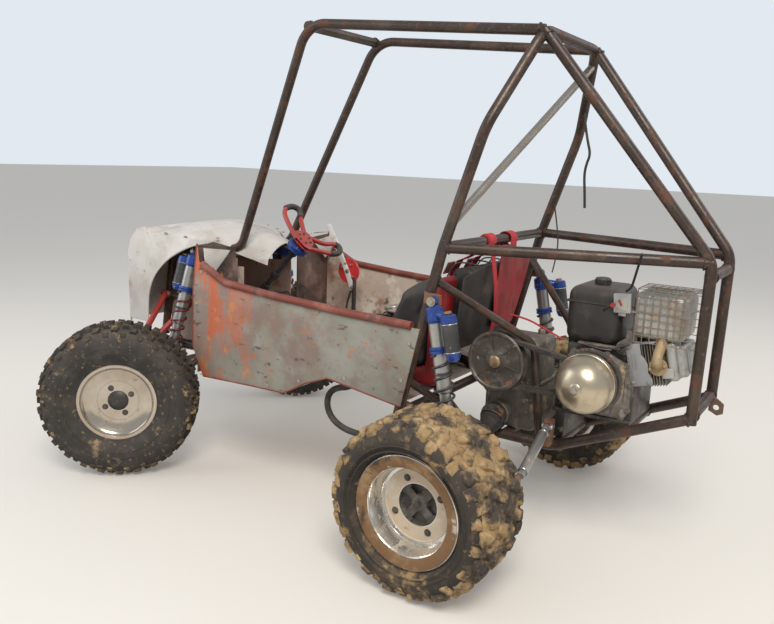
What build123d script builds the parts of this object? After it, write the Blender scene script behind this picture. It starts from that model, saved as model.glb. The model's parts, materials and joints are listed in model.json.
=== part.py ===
"""Home-built single-seat dune buggy: tube cage, sheet-metal tub, belt-driven rear engine.

Sizes are millimetres. Tables are written from the rear axle: x forward, y left, z up from
the floor. The part's own origin is on the floor under the middle of its length, so every
place passes through at() or one of the planes below, which take MID_X off.
"""
import os
from math import cos, hypot, radians, sin, sqrt, tan

from build123d import *

os.makedirs("parts", exist_ok=True)

# Clearances
SEAT_GAP = 0.3          # between a piece and the piece that carries it
RUN_GAP = 0.1           # between a turning shaft and its bore

# Steering, as parked: both front wheels turned left, on the stop
STEER_STOP = 40.4       # degrees from straight ahead
KINGPIN_X = 1377.0
KINGPIN_Y = 506.0
WHEEL_OFFSET = 90.0     # kingpin to the tyre's middle plane
STEER_ARM = 90.0        # kingpin to the tie rod's pin

# Front wheel
FRONT_R = 285.0
FRONT_WIDTH = 180.0
FRONT_TREAD = 124.0
FRONT_RIM_WIDTH = 141.0
FRONT_DISC = 44.0       # disc plane, outboard of the tyre's middle

# Rear wheel
REAR_R = 258.0
REAR_WIDTH = 260.0
REAR_TREAD = 206.0
REAR_RIM_WIDTH = 222.0
REAR_RING_Y = 695.0     # outer ring's face
REAR_DISC = 10.0

# Rims, both axles
BEAD_R = 127.0
FLANGE_R = 141.0
REAR_RING_R = 162.0
RIM_WALL = 4.0
FLANGE_WALL = 3.0
DISC_WALL = 5.0

# Cage
TUBE = 32.0
BRACE_TUBE = 25.0
RIM_TUBE = 26.0
WALL = 3.0              # sheet metal of the tub and nose
CAGE_Y = 373.0          # main hoop's leg
PANEL_Y = CAGE_Y + TUBE / 2 + SEAT_GAP + WALL   # outer face of the tub's side panel
RAIL_Y = 160.0          # lower and middle rails in the nose
LOWER_Z = 398.0

# Length: from the tow eye's rear edge to the right front tyre, which the steering swings out
TOW_REAR = -634.0
FRONT_REACH = (KINGPIN_X + (WHEEL_OFFSET + FRONT_TREAD / 2) * sin(radians(STEER_STOP))
               + FRONT_R * cos(radians(STEER_STOP)))
MID_X = (FRONT_REACH + TOW_REAR) / 2


def at(x, y, z):
    """A place given from the rear axle, in the part's own frame."""
    return Vector(x - MID_X, y, z)


def route(points, side=1):
    """A run of places, mirrored to the right side when side is -1."""
    return [at(x, side * y, z) for x, y, z in points]


def side_plane(y):
    """Upright plane along the buggy at y; local x is x, local y is z, extrusion goes right."""
    return Plane(origin=(-MID_X, y, 0), x_dir=(1, 0, 0), z_dir=(0, -1, 0))


def cross_plane(x):
    """Upright plane across the buggy at x; local x is y, local y is z, extrusion goes forward."""
    return Plane(origin=(x - MID_X, 0, 0), x_dir=(0, 1, 0), z_dir=(1, 0, 0))


def level_plane(z):
    """Level plane at z; local x is x, local y is y, extrusion goes up."""
    return Plane(origin=(-MID_X, 0, z))


def rod(points, bends=None, diameter=TUBE, mode=Mode.ADD):
    """Round bar along straight runs joined by bends."""
    with BuildLine() as path:
        if bends:
            FilletPolyline(*points, radius=list(bends))
        else:
            Line(*points)
    wire = path.wires()[0]
    with BuildSketch(Plane(origin=wire @ 0, z_dir=wire % 0)) as section:
        Circle(diameter / 2)
    sweep(section.sketch, path=wire, mode=mode)


def notch(points, bends=None, diameter=TUBE):
    """Cut the seat that a bar of this route needs in the piece that ends on it."""
    rod(points, bends, diameter + 2 * SEAT_GAP, Mode.SUBTRACT)


def turned(points, axis, mode=Mode.ADD):
    """Round piece: points are (along, radius) on the axis."""
    direction = axis.direction
    across = Vector(0, 0, 1) if abs(direction.Z) < 0.9 else Vector(1, 0, 0)
    normal = direction.cross(across)
    with BuildSketch(Plane(origin=axis.position, x_dir=direction, z_dir=normal)) as half:
        with BuildLine():
            Polyline(*points, close=True)
        make_face()
    revolve(half.sketch, axis=axis, mode=mode)


def between(start, end):
    """Axis from one place towards another, and the distance."""
    run = end - start
    return Axis(start, run), run.length


def save(builder, name):
    """Label a finished piece and write it."""
    builder.part.label = name
    export_step(builder.part, f"parts/{name}.step")


SIDES = (("left", 1), ("right", -1))

# Cage routes for the left side: x, y, z, then the radius of each bend
SIDE_RAIL = [(-100, 218, 1559), (758, 210, 1625), (1124, 144, 825), (1490, 160, 775), (1545, 160, 425)]
SIDE_RAIL_BENDS = (110, 70, 60)
HOOP = [(237, 373, 388), (102, 373, 941), (-12, 373, 1289), (-100, 218, 1559)]
HOOP_ROUTE = route(HOOP) + route(HOOP[::-1], -1)
HOOP_BENDS = (300, 160, 75, 75, 160, 300)
STAY = [(-100, 218, 1559), (-595, 132, 946), (-589, 138, 490)]
STAY_BENDS = (90,)
LOWER_RAIL = [(-589, 138, 506), (-196, 140, 331), (110, 142, 331), (250, 145, 466), (520, 150, 497),
              (720, 155, 405), (1130, RAIL_Y, LOWER_Z), (1545, RAIL_Y, LOWER_Z)]
LOWER_BENDS = (120, 110, 110, 150, 120, 200)

# Steering column, from the yoke's hub down to the rack, and the dash bar that carries it
COLUMN_TOP = (960.0, 831.0)
COLUMN_R = 11.0
BEARING_R = 18.0
RACK_X = KINGPIN_X + STEER_ARM * cos(radians(STEER_STOP))
TIE_Z = 315.5
COLUMN_SLOPE = (COLUMN_TOP[1] - TIE_Z) / (RACK_X - COLUMN_TOP[0])
DASH_X = 1128.0
MIDDLE_Z = (COLUMN_TOP[1] - (DASH_X - COLUMN_TOP[0]) * COLUMN_SLOPE
            - (TUBE / 2 + BEARING_R + SEAT_GAP) * hypot(1, COLUMN_SLOPE))
MIDDLE_RAIL = [(DASH_X - TUBE / 2, RAIL_Y, MIDDLE_Z), (1514, RAIL_Y, MIDDLE_Z)]
WAIST_RAIL = [(102, 373, 941), (-595, 132, 946)]
HARNESS_Z = 941.0
HARNESS_X = 102.0
COLUMN_AXIS, COLUMN_LENGTH = between(at(COLUMN_TOP[0], 0, COLUMN_TOP[1]), at(RACK_X, 0, TIE_Z))
COLUMN_DOWN = COLUMN_AXIS.direction
HARNESS_BAR = route([(HARNESS_X, CAGE_Y, HARNESS_Z), (HARNESS_X, -CAGE_Y, HARNESS_Z)])


with BuildPart() as main_hoop:
    rod(HOOP_ROUTE, HOOP_BENDS)
save(main_hoop, "main_hoop")

with BuildPart() as side_rails:
    for name, side in SIDES:
        rod(route(SIDE_RAIL, side), SIDE_RAIL_BENDS)
    notch(HOOP_ROUTE, HOOP_BENDS)
save(side_rails, "side_rails")

with BuildPart() as rear_stays:
    for name, side in SIDES:
        rod(route(STAY, side), STAY_BENDS)
    notch(HOOP_ROUTE, HOOP_BENDS)
    for name, side in SIDES:
        notch(route(SIDE_RAIL, side), SIDE_RAIL_BENDS)
save(rear_stays, "rear_stays")

with BuildPart() as lower_rails:
    for name, side in SIDES:
        rod(route(LOWER_RAIL, side), LOWER_BENDS)
        notch(route(STAY, side), STAY_BENDS)
save(lower_rails, "lower_rails")

# Crossbars between the two sides: x, half length, z; the foot box stands on the last three
BOX_BARS = ((1130, 160, LOWER_Z), (1500, 160, LOWER_Z), (DASH_X, 160, MIDDLE_Z))
CROSSBARS = (
    (758, 210, 1617),
    (-594, 133, 906),
    (-589, 138, 512),
    (-196, 140, 334),
    (-28, 142, 331),
    (-400, 139, 422),
    (233, 373, 404),
) + BOX_BARS
with BuildPart() as crossbars:
    for x, half, z in CROSSBARS:
        rod(route([(x, half, z), (x, -half, z)]))
    for name, side in SIDES:
        notch(route(SIDE_RAIL, side), SIDE_RAIL_BENDS)
        notch(route(STAY, side), STAY_BENDS)
        notch(route(LOWER_RAIL, side), LOWER_BENDS)
        notch(route(MIDDLE_RAIL, side))
    notch(HOOP_ROUTE, HOOP_BENDS)
save(crossbars, "crossbars")

with BuildPart() as waist_rails:
    for name, side in SIDES:
        rod(route(WAIST_RAIL, side))
        notch(route(STAY, side), STAY_BENDS)
    notch(HARNESS_BAR)
    rod(HARNESS_BAR)
    notch(HOOP_ROUTE, HOOP_BENDS)
save(waist_rails, "waist_rails")

HOOP_BRACE = route([(80, 373, 1010), (-86, -246, 1516)])
with BuildPart() as hoop_brace:
    rod(HOOP_BRACE, diameter=BRACE_TUBE)
    notch(HOOP_ROUTE, HOOP_BENDS)
save(hoop_brace, "hoop_brace")

# Struts that run down from the hoop's legs past the engine to the lower rails
STRUTS = (
    [(139, 373, 850), (-120, 165, 650), (-150, 141, 336)],
    [(205, 373, 520), (84, 142, 336)],
)
with BuildPart() as engine_struts:
    for name, side in SIDES:
        rod(route(STRUTS[0], side), (80,), BRACE_TUBE)
        rod(route(STRUTS[1], side), None, BRACE_TUBE)
        notch(route(LOWER_RAIL, side), LOWER_BENDS)
    notch(HOOP_ROUTE, HOOP_BENDS)
save(engine_struts, "engine_struts")

with BuildPart() as middle_rails:
    for name, side in SIDES:
        rod(route(MIDDLE_RAIL, side))
        notch(route(SIDE_RAIL, side), SIDE_RAIL_BENDS)
save(middle_rails, "middle_rails")

# Tub: thick rolled tube that sits on each side panel's top edge
RIM_Y = PANEL_Y - WALL / 2
RIM_ROUTE = [(186, RIM_Y, 697), (416, RIM_Y, 702), (719, RIM_Y, 716), (965, RIM_Y, 734), (1078, RIM_Y, 790)]
RIM_BENDS = (400, 400, 90)

# Outline of a side panel, x and z, from the top front corner backwards and round; the rim cuts its top
PANEL_TOP = [(1104, 861), (1095, 797), (1060, 770), (965, 726), (719, 709), (416, 695), (158, 690)]
PANEL_BOTTOM = [(215, 436), (241, 438), (430, 463), (503, 473), (594, 436), (691, 384), (846, 380),
                (1079, 371), (1131, 474), (1125, 700)]
with BuildPart() as side_panels:
    for name, side in SIDES:
        with BuildSketch(side_plane(side * (PANEL_Y - WALL / 2))):
            with BuildLine():
                Polyline(*PANEL_TOP, *PANEL_BOTTOM, close=True)
            make_face()
        extrude(amount=WALL / 2, both=True)
        notch(route(RIM_ROUTE, side), RIM_BENDS, RIM_TUBE)
save(side_panels, "side_panels")

with BuildPart() as tub_rims:
    for name, side in SIDES:
        rod(route(RIM_ROUTE, side), RIM_BENDS, RIM_TUBE)
    notch(HOOP_ROUTE, HOOP_BENDS)
save(tub_rims, "tub_rims")

# Floor sheet between the panels, following their lower edge
FLOOR_TOP = [(226, 441), (430, 466), (503, 476), (594, 439), (691, 387), (846, 383), (1100, 374)]
FLOOR_HALF = PANEL_Y - WALL - SEAT_GAP
with BuildPart() as tub_floor:
    with BuildSketch(side_plane(0)):
        with BuildLine():
            Polyline(*FLOOR_TOP, *[(x, z - WALL) for x, z in FLOOR_TOP[::-1]], close=True)
        make_face()
    extrude(amount=FLOOR_HALF, both=True)
    notch(HOOP_ROUTE, HOOP_BENDS)
    for name, side in SIDES:
        notch(route(LOWER_RAIL, side), LOWER_BENDS)
save(tub_floor, "tub_floor")

# Bulkhead across the tub's front with the opening for the driver's legs
BULKHEAD_X = 1108.0
LEG_HALF = RAIL_Y - TUBE / 2 - SEAT_GAP - WALL
with BuildPart() as front_bulkhead:
    with BuildSketch(cross_plane(BULKHEAD_X)):
        with BuildLine():
            Polyline((-FLOOR_HALF, 380), (FLOOR_HALF, 380), (FLOOR_HALF, 850), (190, 835), (190, 790),
                     (-190, 790), (-190, 835), (-FLOOR_HALF, 850), close=True)
        make_face()
        with Locations((0, 600)):
            Rectangle(2 * (RAIL_Y + TUBE / 2) + 6, 392, mode=Mode.SUBTRACT)
    extrude(amount=WALL)
    for name, side in SIDES:
        notch(route(SIDE_RAIL, side), SIDE_RAIL_BENDS)
        notch(route(LOWER_RAIL, side), LOWER_BENDS)
        notch(route(RIM_ROUTE, side), RIM_BENDS, RIM_TUBE)
save(front_bulkhead, "front_bulkhead")

# Foot box: floor, walls and front plate inside the nose frame
BOX_FRONT = 1526.0
BOX_REAR = BULKHEAD_X + WALL + SEAT_GAP
BOX_FLOOR_Z = LOWER_Z - TUBE / 2 - SEAT_GAP - WALL
BOX_TOP_Z = 752.0
COLUMN_HOLE = 8.0
with BuildPart() as foot_box:
    with BuildSketch(level_plane(BOX_FLOOR_Z)):
        with Locations(((BOX_REAR + BOX_FRONT) / 2, 0)):
            Rectangle(BOX_FRONT - BOX_REAR, 2 * (RAIL_Y + TUBE / 2))
    extrude(amount=WALL)
    for name, side in SIDES:
        with BuildSketch(side_plane(side * (LEG_HALF + WALL / 2))):
            with BuildLine():
                Polyline((BOX_REAR, BOX_FLOOR_Z), (BOX_FRONT, BOX_FLOOR_Z), (BOX_FRONT, BOX_TOP_Z - 40),
                         (1480, BOX_TOP_Z - 15), (BOX_REAR, BOX_TOP_Z), close=True)
            make_face()
        extrude(amount=WALL / 2, both=True)
    with BuildSketch(cross_plane(BOX_FRONT - WALL)):
        with Locations((0, (BOX_FLOOR_Z + BOX_TOP_Z - 40) / 2)):
            Rectangle(2 * LEG_HALF + 2 * WALL, BOX_TOP_Z - 40 - BOX_FLOOR_Z)
    extrude(amount=WALL)
    for x, half, z in BOX_BARS:
        notch(route([(x, half, z), (x, -half, z)]))
    turned([(0, 0), (0, COLUMN_R + COLUMN_HOLE), (COLUMN_LENGTH, COLUMN_R + COLUMN_HOLE), (COLUMN_LENGTH, 0)],
           COLUMN_AXIS, Mode.SUBTRACT)
save(foot_box, "foot_box")

# Bonnet and nose: sections from the cowl forward and down
NOSE_HALF = 300.0
NOSE_X = 1604.0
NOSE_TOP = 893.0
NOSE_BOTTOM = 500.0
NOSE_BEND = 112.0
NOSE_LEAN = 8.0
ROLL_BACK = 124.0
BONNET = (
    # distance behind the nose, z of the ridge, half width, how much lower the edge is
    (594, 846, 118, 62),
    (454, NOSE_TOP, 150, 72),
    (324, 911, 262, 55),
    (204, 909, NOSE_HALF, 42),
    (ROLL_BACK, NOSE_TOP, NOSE_HALF, 34),
)


def arch_section(x, ridge, half, drop, thick):
    """Thin crowned section across the bonnet at x."""
    with BuildSketch(cross_plane(x)) as section:
        with BuildLine():
            ThreePointArc((-half, ridge - drop), (0, ridge), (half, ridge - drop))
            Line((half, ridge - drop), (half, ridge - drop - thick))
            ThreePointArc((half, ridge - drop - thick), (0, ridge - thick), (-half, ridge - drop - thick))
            Line((-half, ridge - drop - thick), (-half, ridge - drop))
        make_face()
    return section.sketch


# Side sheet in side view, as distance behind the nose and z: under the bonnet, nose, then up the arch
CHEEK = [(204, 866), (ROLL_BACK, 858), (112, 892), (64, 880), (19, 835), (1, 781), (9, NOSE_BOTTOM),
         (115, NOSE_BOTTOM), (118, 590), (126, 640), (176, 717), (204, 745)]
with BuildPart() as bonnet:
    loft([arch_section(NOSE_X - back, ridge, half, drop, WALL) for back, ridge, half, drop in BONNET],
         ruled=True)
    # Nose: the sheet rolls over and down in front of the foot box
    with BuildSketch(side_plane(0)):
        with BuildLine():
            Line((NOSE_X - ROLL_BACK, NOSE_TOP), (NOSE_X - NOSE_BEND, NOSE_TOP))
            RadiusArc((NOSE_X - NOSE_BEND, NOSE_TOP), (NOSE_X, NOSE_TOP - NOSE_BEND), NOSE_BEND)
            Line((NOSE_X, NOSE_TOP - NOSE_BEND), (NOSE_X - NOSE_LEAN, NOSE_BOTTOM))
            Line((NOSE_X - NOSE_LEAN, NOSE_BOTTOM), (NOSE_X - NOSE_LEAN - WALL, NOSE_BOTTOM))
            Line((NOSE_X - NOSE_LEAN - WALL, NOSE_BOTTOM), (NOSE_X - WALL, NOSE_TOP - NOSE_BEND))
            RadiusArc((NOSE_X - WALL, NOSE_TOP - NOSE_BEND), (NOSE_X - NOSE_BEND, NOSE_TOP - WALL),
                      -(NOSE_BEND - WALL))
            Line((NOSE_X - NOSE_BEND, NOSE_TOP - WALL), (NOSE_X - ROLL_BACK, NOSE_TOP - WALL))
            Line((NOSE_X - ROLL_BACK, NOSE_TOP - WALL), (NOSE_X - ROLL_BACK, NOSE_TOP))
        make_face()
    extrude(amount=NOSE_HALF, both=True)
    # Cheeks: side sheets from the bonnet's edge down in front of the wheel arches
    for name, side in SIDES:
        with BuildSketch(side_plane(side * (NOSE_HALF - WALL / 2))):
            with BuildLine():
                Polyline(*[(NOSE_X - back, z) for back, z in CHEEK], close=True)
            make_face()
        extrude(amount=WALL / 2, both=True)
    for name, side in SIDES:
        notch(route(SIDE_RAIL, side), SIDE_RAIL_BENDS)
save(bonnet, "bonnet")


# Seat: outlines in side view, x and z
SEAT_HALF = 155.0
SEAT_OUTER = 250.0
SEAT_BACK = [(285, 540), (285, 640), (185, 900), (100, 900), (150, 560)]
SEAT_BASE = [(285.5, 494), (575, 494), (590, 590), (565, 632), (285.5, 612)]
# Sides of the seat: rear edge's x at the top, the top's z, rear edge's x at the foot
SEAT_ENDS = (("left", 1, 140, 875, 178), ("right", -1, 80, 912, 135))
BOLSTER_FRONT = [(225, 760), (225, 517), (190, 517)]
WING_FRONT = [(214, 815), (265, 802), (321, 773), (371, 672), (440, 600), (460, 517), (190, 517)]
with BuildPart() as seat_cushions:
    for outline in (SEAT_BACK, SEAT_BASE):
        with BuildSketch(side_plane(0)):
            with BuildLine():
                Polyline(*outline, close=True)
            make_face()
        extrude(amount=SEAT_HALF - SEAT_GAP, both=True)
    for name, side in SIDES:
        notch(route(LOWER_RAIL, side), LOWER_BENDS)
save(seat_cushions, "seat_cushions")

SEAT_SIDE_HALF = (SEAT_OUTER - SEAT_HALF) / 2
with BuildPart() as seat_bolsters:
    for name, side, rear, top, foot in SEAT_ENDS:
        with BuildSketch(side_plane(side * (SEAT_HALF + SEAT_SIDE_HALF))):
            with BuildLine():
                Polyline((rear, top), (190, top), *BOLSTER_FRONT, (foot, 575), close=True)
            make_face()
        extrude(amount=SEAT_SIDE_HALF, both=True)
save(seat_bolsters, "seat_bolsters")

with BuildPart() as seat_wings:
    for name, side, rear, top, foot in SEAT_ENDS:
        with BuildSketch(side_plane(side * (SEAT_HALF + SEAT_SIDE_HALF))):
            with BuildLine():
                Polyline((rear, top), (190, top), *WING_FRONT, (foot, 575), close=True)
            make_face()
        extrude(amount=SEAT_SIDE_HALF, both=True)
    for name, side, rear, top, foot in SEAT_ENDS:
        with BuildSketch(side_plane(side * (SEAT_HALF + SEAT_SIDE_HALF))):
            with BuildLine():
                Polyline((rear, top), (190, top), *BOLSTER_FRONT, (foot, 575), close=True)
            make_face()
            offset(amount=SEAT_GAP, kind=Kind.INTERSECTION)
        extrude(amount=SEAT_SIDE_HALF + 1, both=True, mode=Mode.SUBTRACT)
save(seat_wings, "seat_wings")

# Shoulder straps looped over the harness bar, tails hanging behind the seat
STRAP_Y = 85.0
STRAP_WIDTH = 48.0
STRAP_WALL = 3.0
STRAP_TAIL_Z = 640.0
STRAP_R = TUBE / 2 + SEAT_GAP
with BuildPart() as harness_straps:
    for name, side in SIDES:
        with BuildSketch(side_plane(side * STRAP_Y)):
            with Locations((HARNESS_X, HARNESS_Z)):
                Circle(STRAP_R + STRAP_WALL)
            with Locations((HARNESS_X - STRAP_R - STRAP_WALL / 2, (HARNESS_Z + STRAP_TAIL_Z) / 2)):
                Rectangle(STRAP_WALL, HARNESS_Z - STRAP_TAIL_Z)
            with Locations((HARNESS_X, HARNESS_Z)):
                Circle(STRAP_R, mode=Mode.SUBTRACT)
        extrude(amount=STRAP_WIDTH / 2, both=True)
save(harness_straps, "harness_straps")

# Steering: column, blue quick-release hub and red yoke turn together
RACK_R = 18.0
PINION_REACH = 42.0
HUB_R = 43.0
with BuildPart() as steering_column:
    column_end = COLUMN_LENGTH - PINION_REACH - SEAT_GAP
    turned([(-22, 0), (-22, HUB_R), (8, HUB_R), (8, 20), (40, COLUMN_R), (column_end, COLUMN_R), (column_end, 0)],
           COLUMN_AXIS)
save(steering_column, "steering_column")

# Yoke in the plane square to the column, as (left, up), turned with the wheels on their stop
YOKE_PLANE = Plane(origin=at(COLUMN_TOP[0], 0, COLUMN_TOP[1]) - COLUMN_DOWN * 45, x_dir=(0, 1, 0),
                   z_dir=COLUMN_DOWN)
YOKE_TUBE = 19.0
GRIP = 28.0
YOKE_ARMS = (
    ((36, 9), (17, 104), (-16, 162), (-84, 180), (-115, 153), (-69, 104), (-30, 31)),
    ((-23, 22), (-84, -32), (-161, -35), (-184, -53), (-158, -90), (-84, -81), (14, -42)),
)
with BuildPart() as steering_yoke:
    for arm in YOKE_ARMS:
        rod([YOKE_PLANE.from_local_coords((x, y, 0)) for x, y in arm], (18, 18, 16, 16, 18), YOKE_TUBE)
    with BuildSketch(YOKE_PLANE.offset(-9)):
        with BuildLine():
            Polyline((44, 8), (-28, 40), (-40, 22), (18, -54), (30, -40), close=True)
        make_face()
    extrude(amount=18)
    with BuildSketch(YOKE_PLANE.offset(9)):
        Circle(24)
    extrude(amount=45 - 22 - 9 - SEAT_GAP)
save(steering_yoke, "steering_yoke")

# Hand lever: post on the tub's floor, toothed quadrant and the bent flat lever, as x and z
LEVER_Y = -250.0
LEVER_POST = (859.0, 383.2, 690.0)
QUADRANT = (888.0, 722.0, 52.0)
LEVER = [(985, 912), (1006, 904), (962, 826), (906, 722), (872, 642), (848, 652), (884, 730), (940, 836)]
with BuildPart() as hand_lever:
    rod(route([(LEVER_POST[0], LEVER_Y, LEVER_POST[1]), (LEVER_POST[0], LEVER_Y, LEVER_POST[2])]), None, 18)
    with BuildSketch(side_plane(LEVER_Y)):
        with Locations((QUADRANT[0], QUADRANT[1])):
            Circle(QUADRANT[2])
    extrude(amount=4, both=True)
    with BuildSketch(side_plane(LEVER_Y + 8)):
        with BuildLine():
            Polyline(*LEVER, close=True)
        make_face()
    extrude(amount=4, both=True)
save(hand_lever, "hand_lever")

# Pedals: foot on the foot box's floor, arm and pad
PEDAL_Y = 82.0
PEDAL_X = 1462.0
PEDAL_PAD_Z = 525.0
with BuildPart() as pedals:
    for name, side in SIDES:
        with BuildSketch(level_plane(BOX_FLOOR_Z + WALL + SEAT_GAP)):
            with Locations((PEDAL_X, side * PEDAL_Y)):
                Rectangle(30, 40)
        extrude(amount=16)
        rod(route([(PEDAL_X, PEDAL_Y, 392), (PEDAL_X + 6, PEDAL_Y, PEDAL_PAD_Z)], side), None, 12)
        with BuildSketch(cross_plane(PEDAL_X - 8)):
            with Locations((side * PEDAL_Y, PEDAL_PAD_Z)):
                RectangleRounded(60, 70, 8)
        extrude(amount=10)
save(pedals, "pedals")

# Rack: fixed housing under the foot box, with the sliding bar and its tie rods inside
TIE_R = 8.0
RACK_HALF = 150.0
PIN_REACH = STEER_ARM * sin(radians(STEER_STOP))
EYE_R = 13.0
EYE_HALF = 9.0
HOUSING_TOP = BOX_FLOOR_Z - SEAT_GAP
with BuildPart() as steering_rack:
    turned([(0, 0), (0, 15), (PINION_REACH, 15), (PINION_REACH, 0)],
           Axis(at(RACK_X, 0, TIE_Z), -COLUMN_DOWN))
    with BuildSketch(side_plane(0)):
        with Locations((RACK_X, TIE_Z)):
            Circle(RACK_R)
    extrude(amount=RACK_HALF, both=True)
    for name, side in SIDES:
        with BuildSketch(side_plane(side * (RACK_HALF - 6))):
            with Locations((RACK_X + 14, (TIE_Z + HOUSING_TOP) / 2)):
                Rectangle(28, HOUSING_TOP - TIE_Z)
        extrude(amount=6, both=True)
    with BuildSketch(side_plane(0)):
        with Locations((RACK_X, TIE_Z)):
            Circle(TIE_R + RUN_GAP)
    extrude(amount=RACK_HALF + 10, both=True, mode=Mode.SUBTRACT)
    with BuildSketch(level_plane(BOX_FLOOR_Z - SEAT_GAP)):
        with Locations((RACK_X, 0)):
            Rectangle(200, 200)
    extrude(amount=60, mode=Mode.SUBTRACT)
save(steering_rack, "steering_rack")

with BuildPart() as tie_rods:
    with BuildSketch(side_plane(PIN_REACH)):
        with Locations((RACK_X, TIE_Z)):
            Circle(TIE_R)
    extrude(amount=KINGPIN_Y, both=True)
    for name, side in SIDES:
        with BuildSketch(level_plane(TIE_Z - EYE_HALF)):
            with Locations((RACK_X, side * KINGPIN_Y + PIN_REACH)):
                Circle(EYE_R)
        extrude(amount=2 * EYE_HALF)
save(tie_rods, "tie_rods")

with BuildPart() as column_bearing:
    start = COLUMN_AXIS.position + COLUMN_DOWN * ((DASH_X - COLUMN_TOP[0]) * hypot(1, COLUMN_SLOPE) - 20)
    turned([(0, COLUMN_R + RUN_GAP), (40, COLUMN_R + RUN_GAP), (40, BEARING_R), (0, BEARING_R)],
           Axis(start, COLUMN_DOWN))
save(column_bearing, "column_bearing")

# Front suspension arms: ball joint at the kingpin, then eyes against the rails
POST_HALF = 77.0
ARM_EYE_R = 13.0
ARM_TUBE = 24.0
JOINT_R = 15.0
JOINT_HEIGHT = 22.0
PIN_R = 8.0
ARM_PIVOT_Y = RAIL_Y + TUBE / 2 + SEAT_GAP + ARM_EYE_R
JOINT_SPAN = POST_HALF + SEAT_GAP + JOINT_HEIGHT / 2
# level, outer joint z, inner z, how far ahead the front leg's eye is, how far behind the rear leg's
ARMS = (
    ("lower_arms", FRONT_R - JOINT_SPAN, LOWER_Z, 60, 130),
    ("upper_arms", FRONT_R + JOINT_SPAN, MIDDLE_Z, 130, 45),
)
TAB = 6.0
FRONT_SHOCK_TOP = (1250, 262, 812)
FRONT_SHOCK_FOOT = (1302, 371, 350)
SHOCK_EYE_HALF = 13.0
for label, outer_z, inner_z, ahead, behind in ARMS:
    with BuildPart() as arms:
        for name, side in SIDES:
            joint = (KINGPIN_X, KINGPIN_Y, outer_z)
            for reach in (ahead, -behind):
                eye = (KINGPIN_X + reach, ARM_PIVOT_Y, inner_z)
                rod(route([joint, eye], side), None, ARM_TUBE)
                with BuildSketch(cross_plane(eye[0])):
                    with Locations((side * eye[1], eye[2])):
                        Circle(ARM_EYE_R)
                extrude(amount=18, both=True)
            with BuildSketch(level_plane(outer_z)):
                with Locations((KINGPIN_X, side * KINGPIN_Y)):
                    Circle(JOINT_R)
            extrude(amount=JOINT_HEIGHT / 2, both=True)
            # Nothing of the legs stays above or below the joint, where the knuckle turns
            for level in (outer_z + JOINT_HEIGHT / 2, outer_z - JOINT_HEIGHT / 2 - 40):
                with BuildSketch(level_plane(level)):
                    with Locations((KINGPIN_X, side * KINGPIN_Y)):
                        Circle(26)
                extrude(amount=40, mode=Mode.SUBTRACT)
            with BuildSketch(level_plane(outer_z)):
                with Locations((KINGPIN_X, side * KINGPIN_Y)):
                    Circle(PIN_R + RUN_GAP)
            extrude(amount=60, both=True, mode=Mode.SUBTRACT)
            notch(route(LOWER_RAIL, side), LOWER_BENDS)
            notch(route(MIDDLE_RAIL, side))
            if label == "lower_arms":
                # Two tabs hold the shock's lower eye between them
                for tab in (-1, 1):
                    y = FRONT_SHOCK_FOOT[1] + tab * (SHOCK_EYE_HALF + SEAT_GAP + TAB / 2)
                    with BuildSketch(side_plane(side * y)):
                        with BuildLine():
                            Polyline((1286, 364), (1318, 364), (1336, 285 - tab * 10), (1306, 285 - tab * 10),
                                     close=True)
                        make_face()
                    extrude(amount=TAB / 2, both=True)
    save(arms, label)

# Knuckles, turned with the wheels: post, pins, spindle and steering arm
STEER = radians(STEER_STOP)
AHEAD = Vector(cos(STEER), sin(STEER), 0)
SPINDLE_R = 12.5
ARM_TOP = TIE_Z - EYE_HALF - 0.5


def outward(side):
    """Direction out of a front wheel's outer face, with the steering on its left stop."""
    return Vector(-side * sin(STEER), side * cos(STEER), 0)


for name, side in SIDES:
    kingpin = at(KINGPIN_X, side * KINGPIN_Y, FRONT_R)
    out = outward(side)
    with BuildPart() as knuckle:
        with BuildSketch(Plane(origin=kingpin, x_dir=AHEAD, z_dir=(0, 0, 1))):
            Rectangle(36, 24)
        extrude(amount=POST_HALF, both=True)
        with BuildSketch(Plane(origin=kingpin, x_dir=AHEAD, z_dir=(0, 0, 1))):
            Circle(PIN_R)
        extrude(amount=POST_HALF + SEAT_GAP + JOINT_HEIGHT, both=True)
        with BuildSketch(Plane(origin=kingpin, x_dir=AHEAD, z_dir=out)):
            Circle(SPINDLE_R)
        extrude(amount=WHEEL_OFFSET + FRONT_DISC - 12)
        with BuildSketch(Plane(origin=kingpin + Vector(0, 0, ARM_TOP - FRONT_R), x_dir=AHEAD, z_dir=(0, 0, 1))):
            with Locations((STEER_ARM / 2, 0)):
                SlotCenterToCenter(STEER_ARM, 22)
        extrude(amount=-14)
    save(knuckle, f"knuckle_{name}")

# Tread: the carcass is a ring of flats, two to a lug. Rows of lugs: place across the tread,
# width, length round the tyre, and whether the row sits on the odd flats
FRONT_TREAD_ROWS = ((0, 30, 30, 0), (-40, 28, 30, 1), (40, 28, 30, 1))
REAR_TREAD_ROWS = ((-25, 44, 38, 0), (25, 44, 38, 1), (-78, 44, 38, 1), (78, 44, 38, 0))
FRONT_LUGS, REAR_LUGS = 17, 14
FRONT_LUG, REAR_LUG = 15.0, 20.0        # how high a lug stands
LUG_ROOT = 6.0          # how far a lug reaches into the carcass
SHOULDER, SHOULDER_DROP = 14.0, 14.0    # from the tread's edge out and down to the sidewall
UP = (0, 0, 1)
SIDEWALL_BELLY = 4.0    # the widest place lies this far under the sidewall's middle

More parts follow.
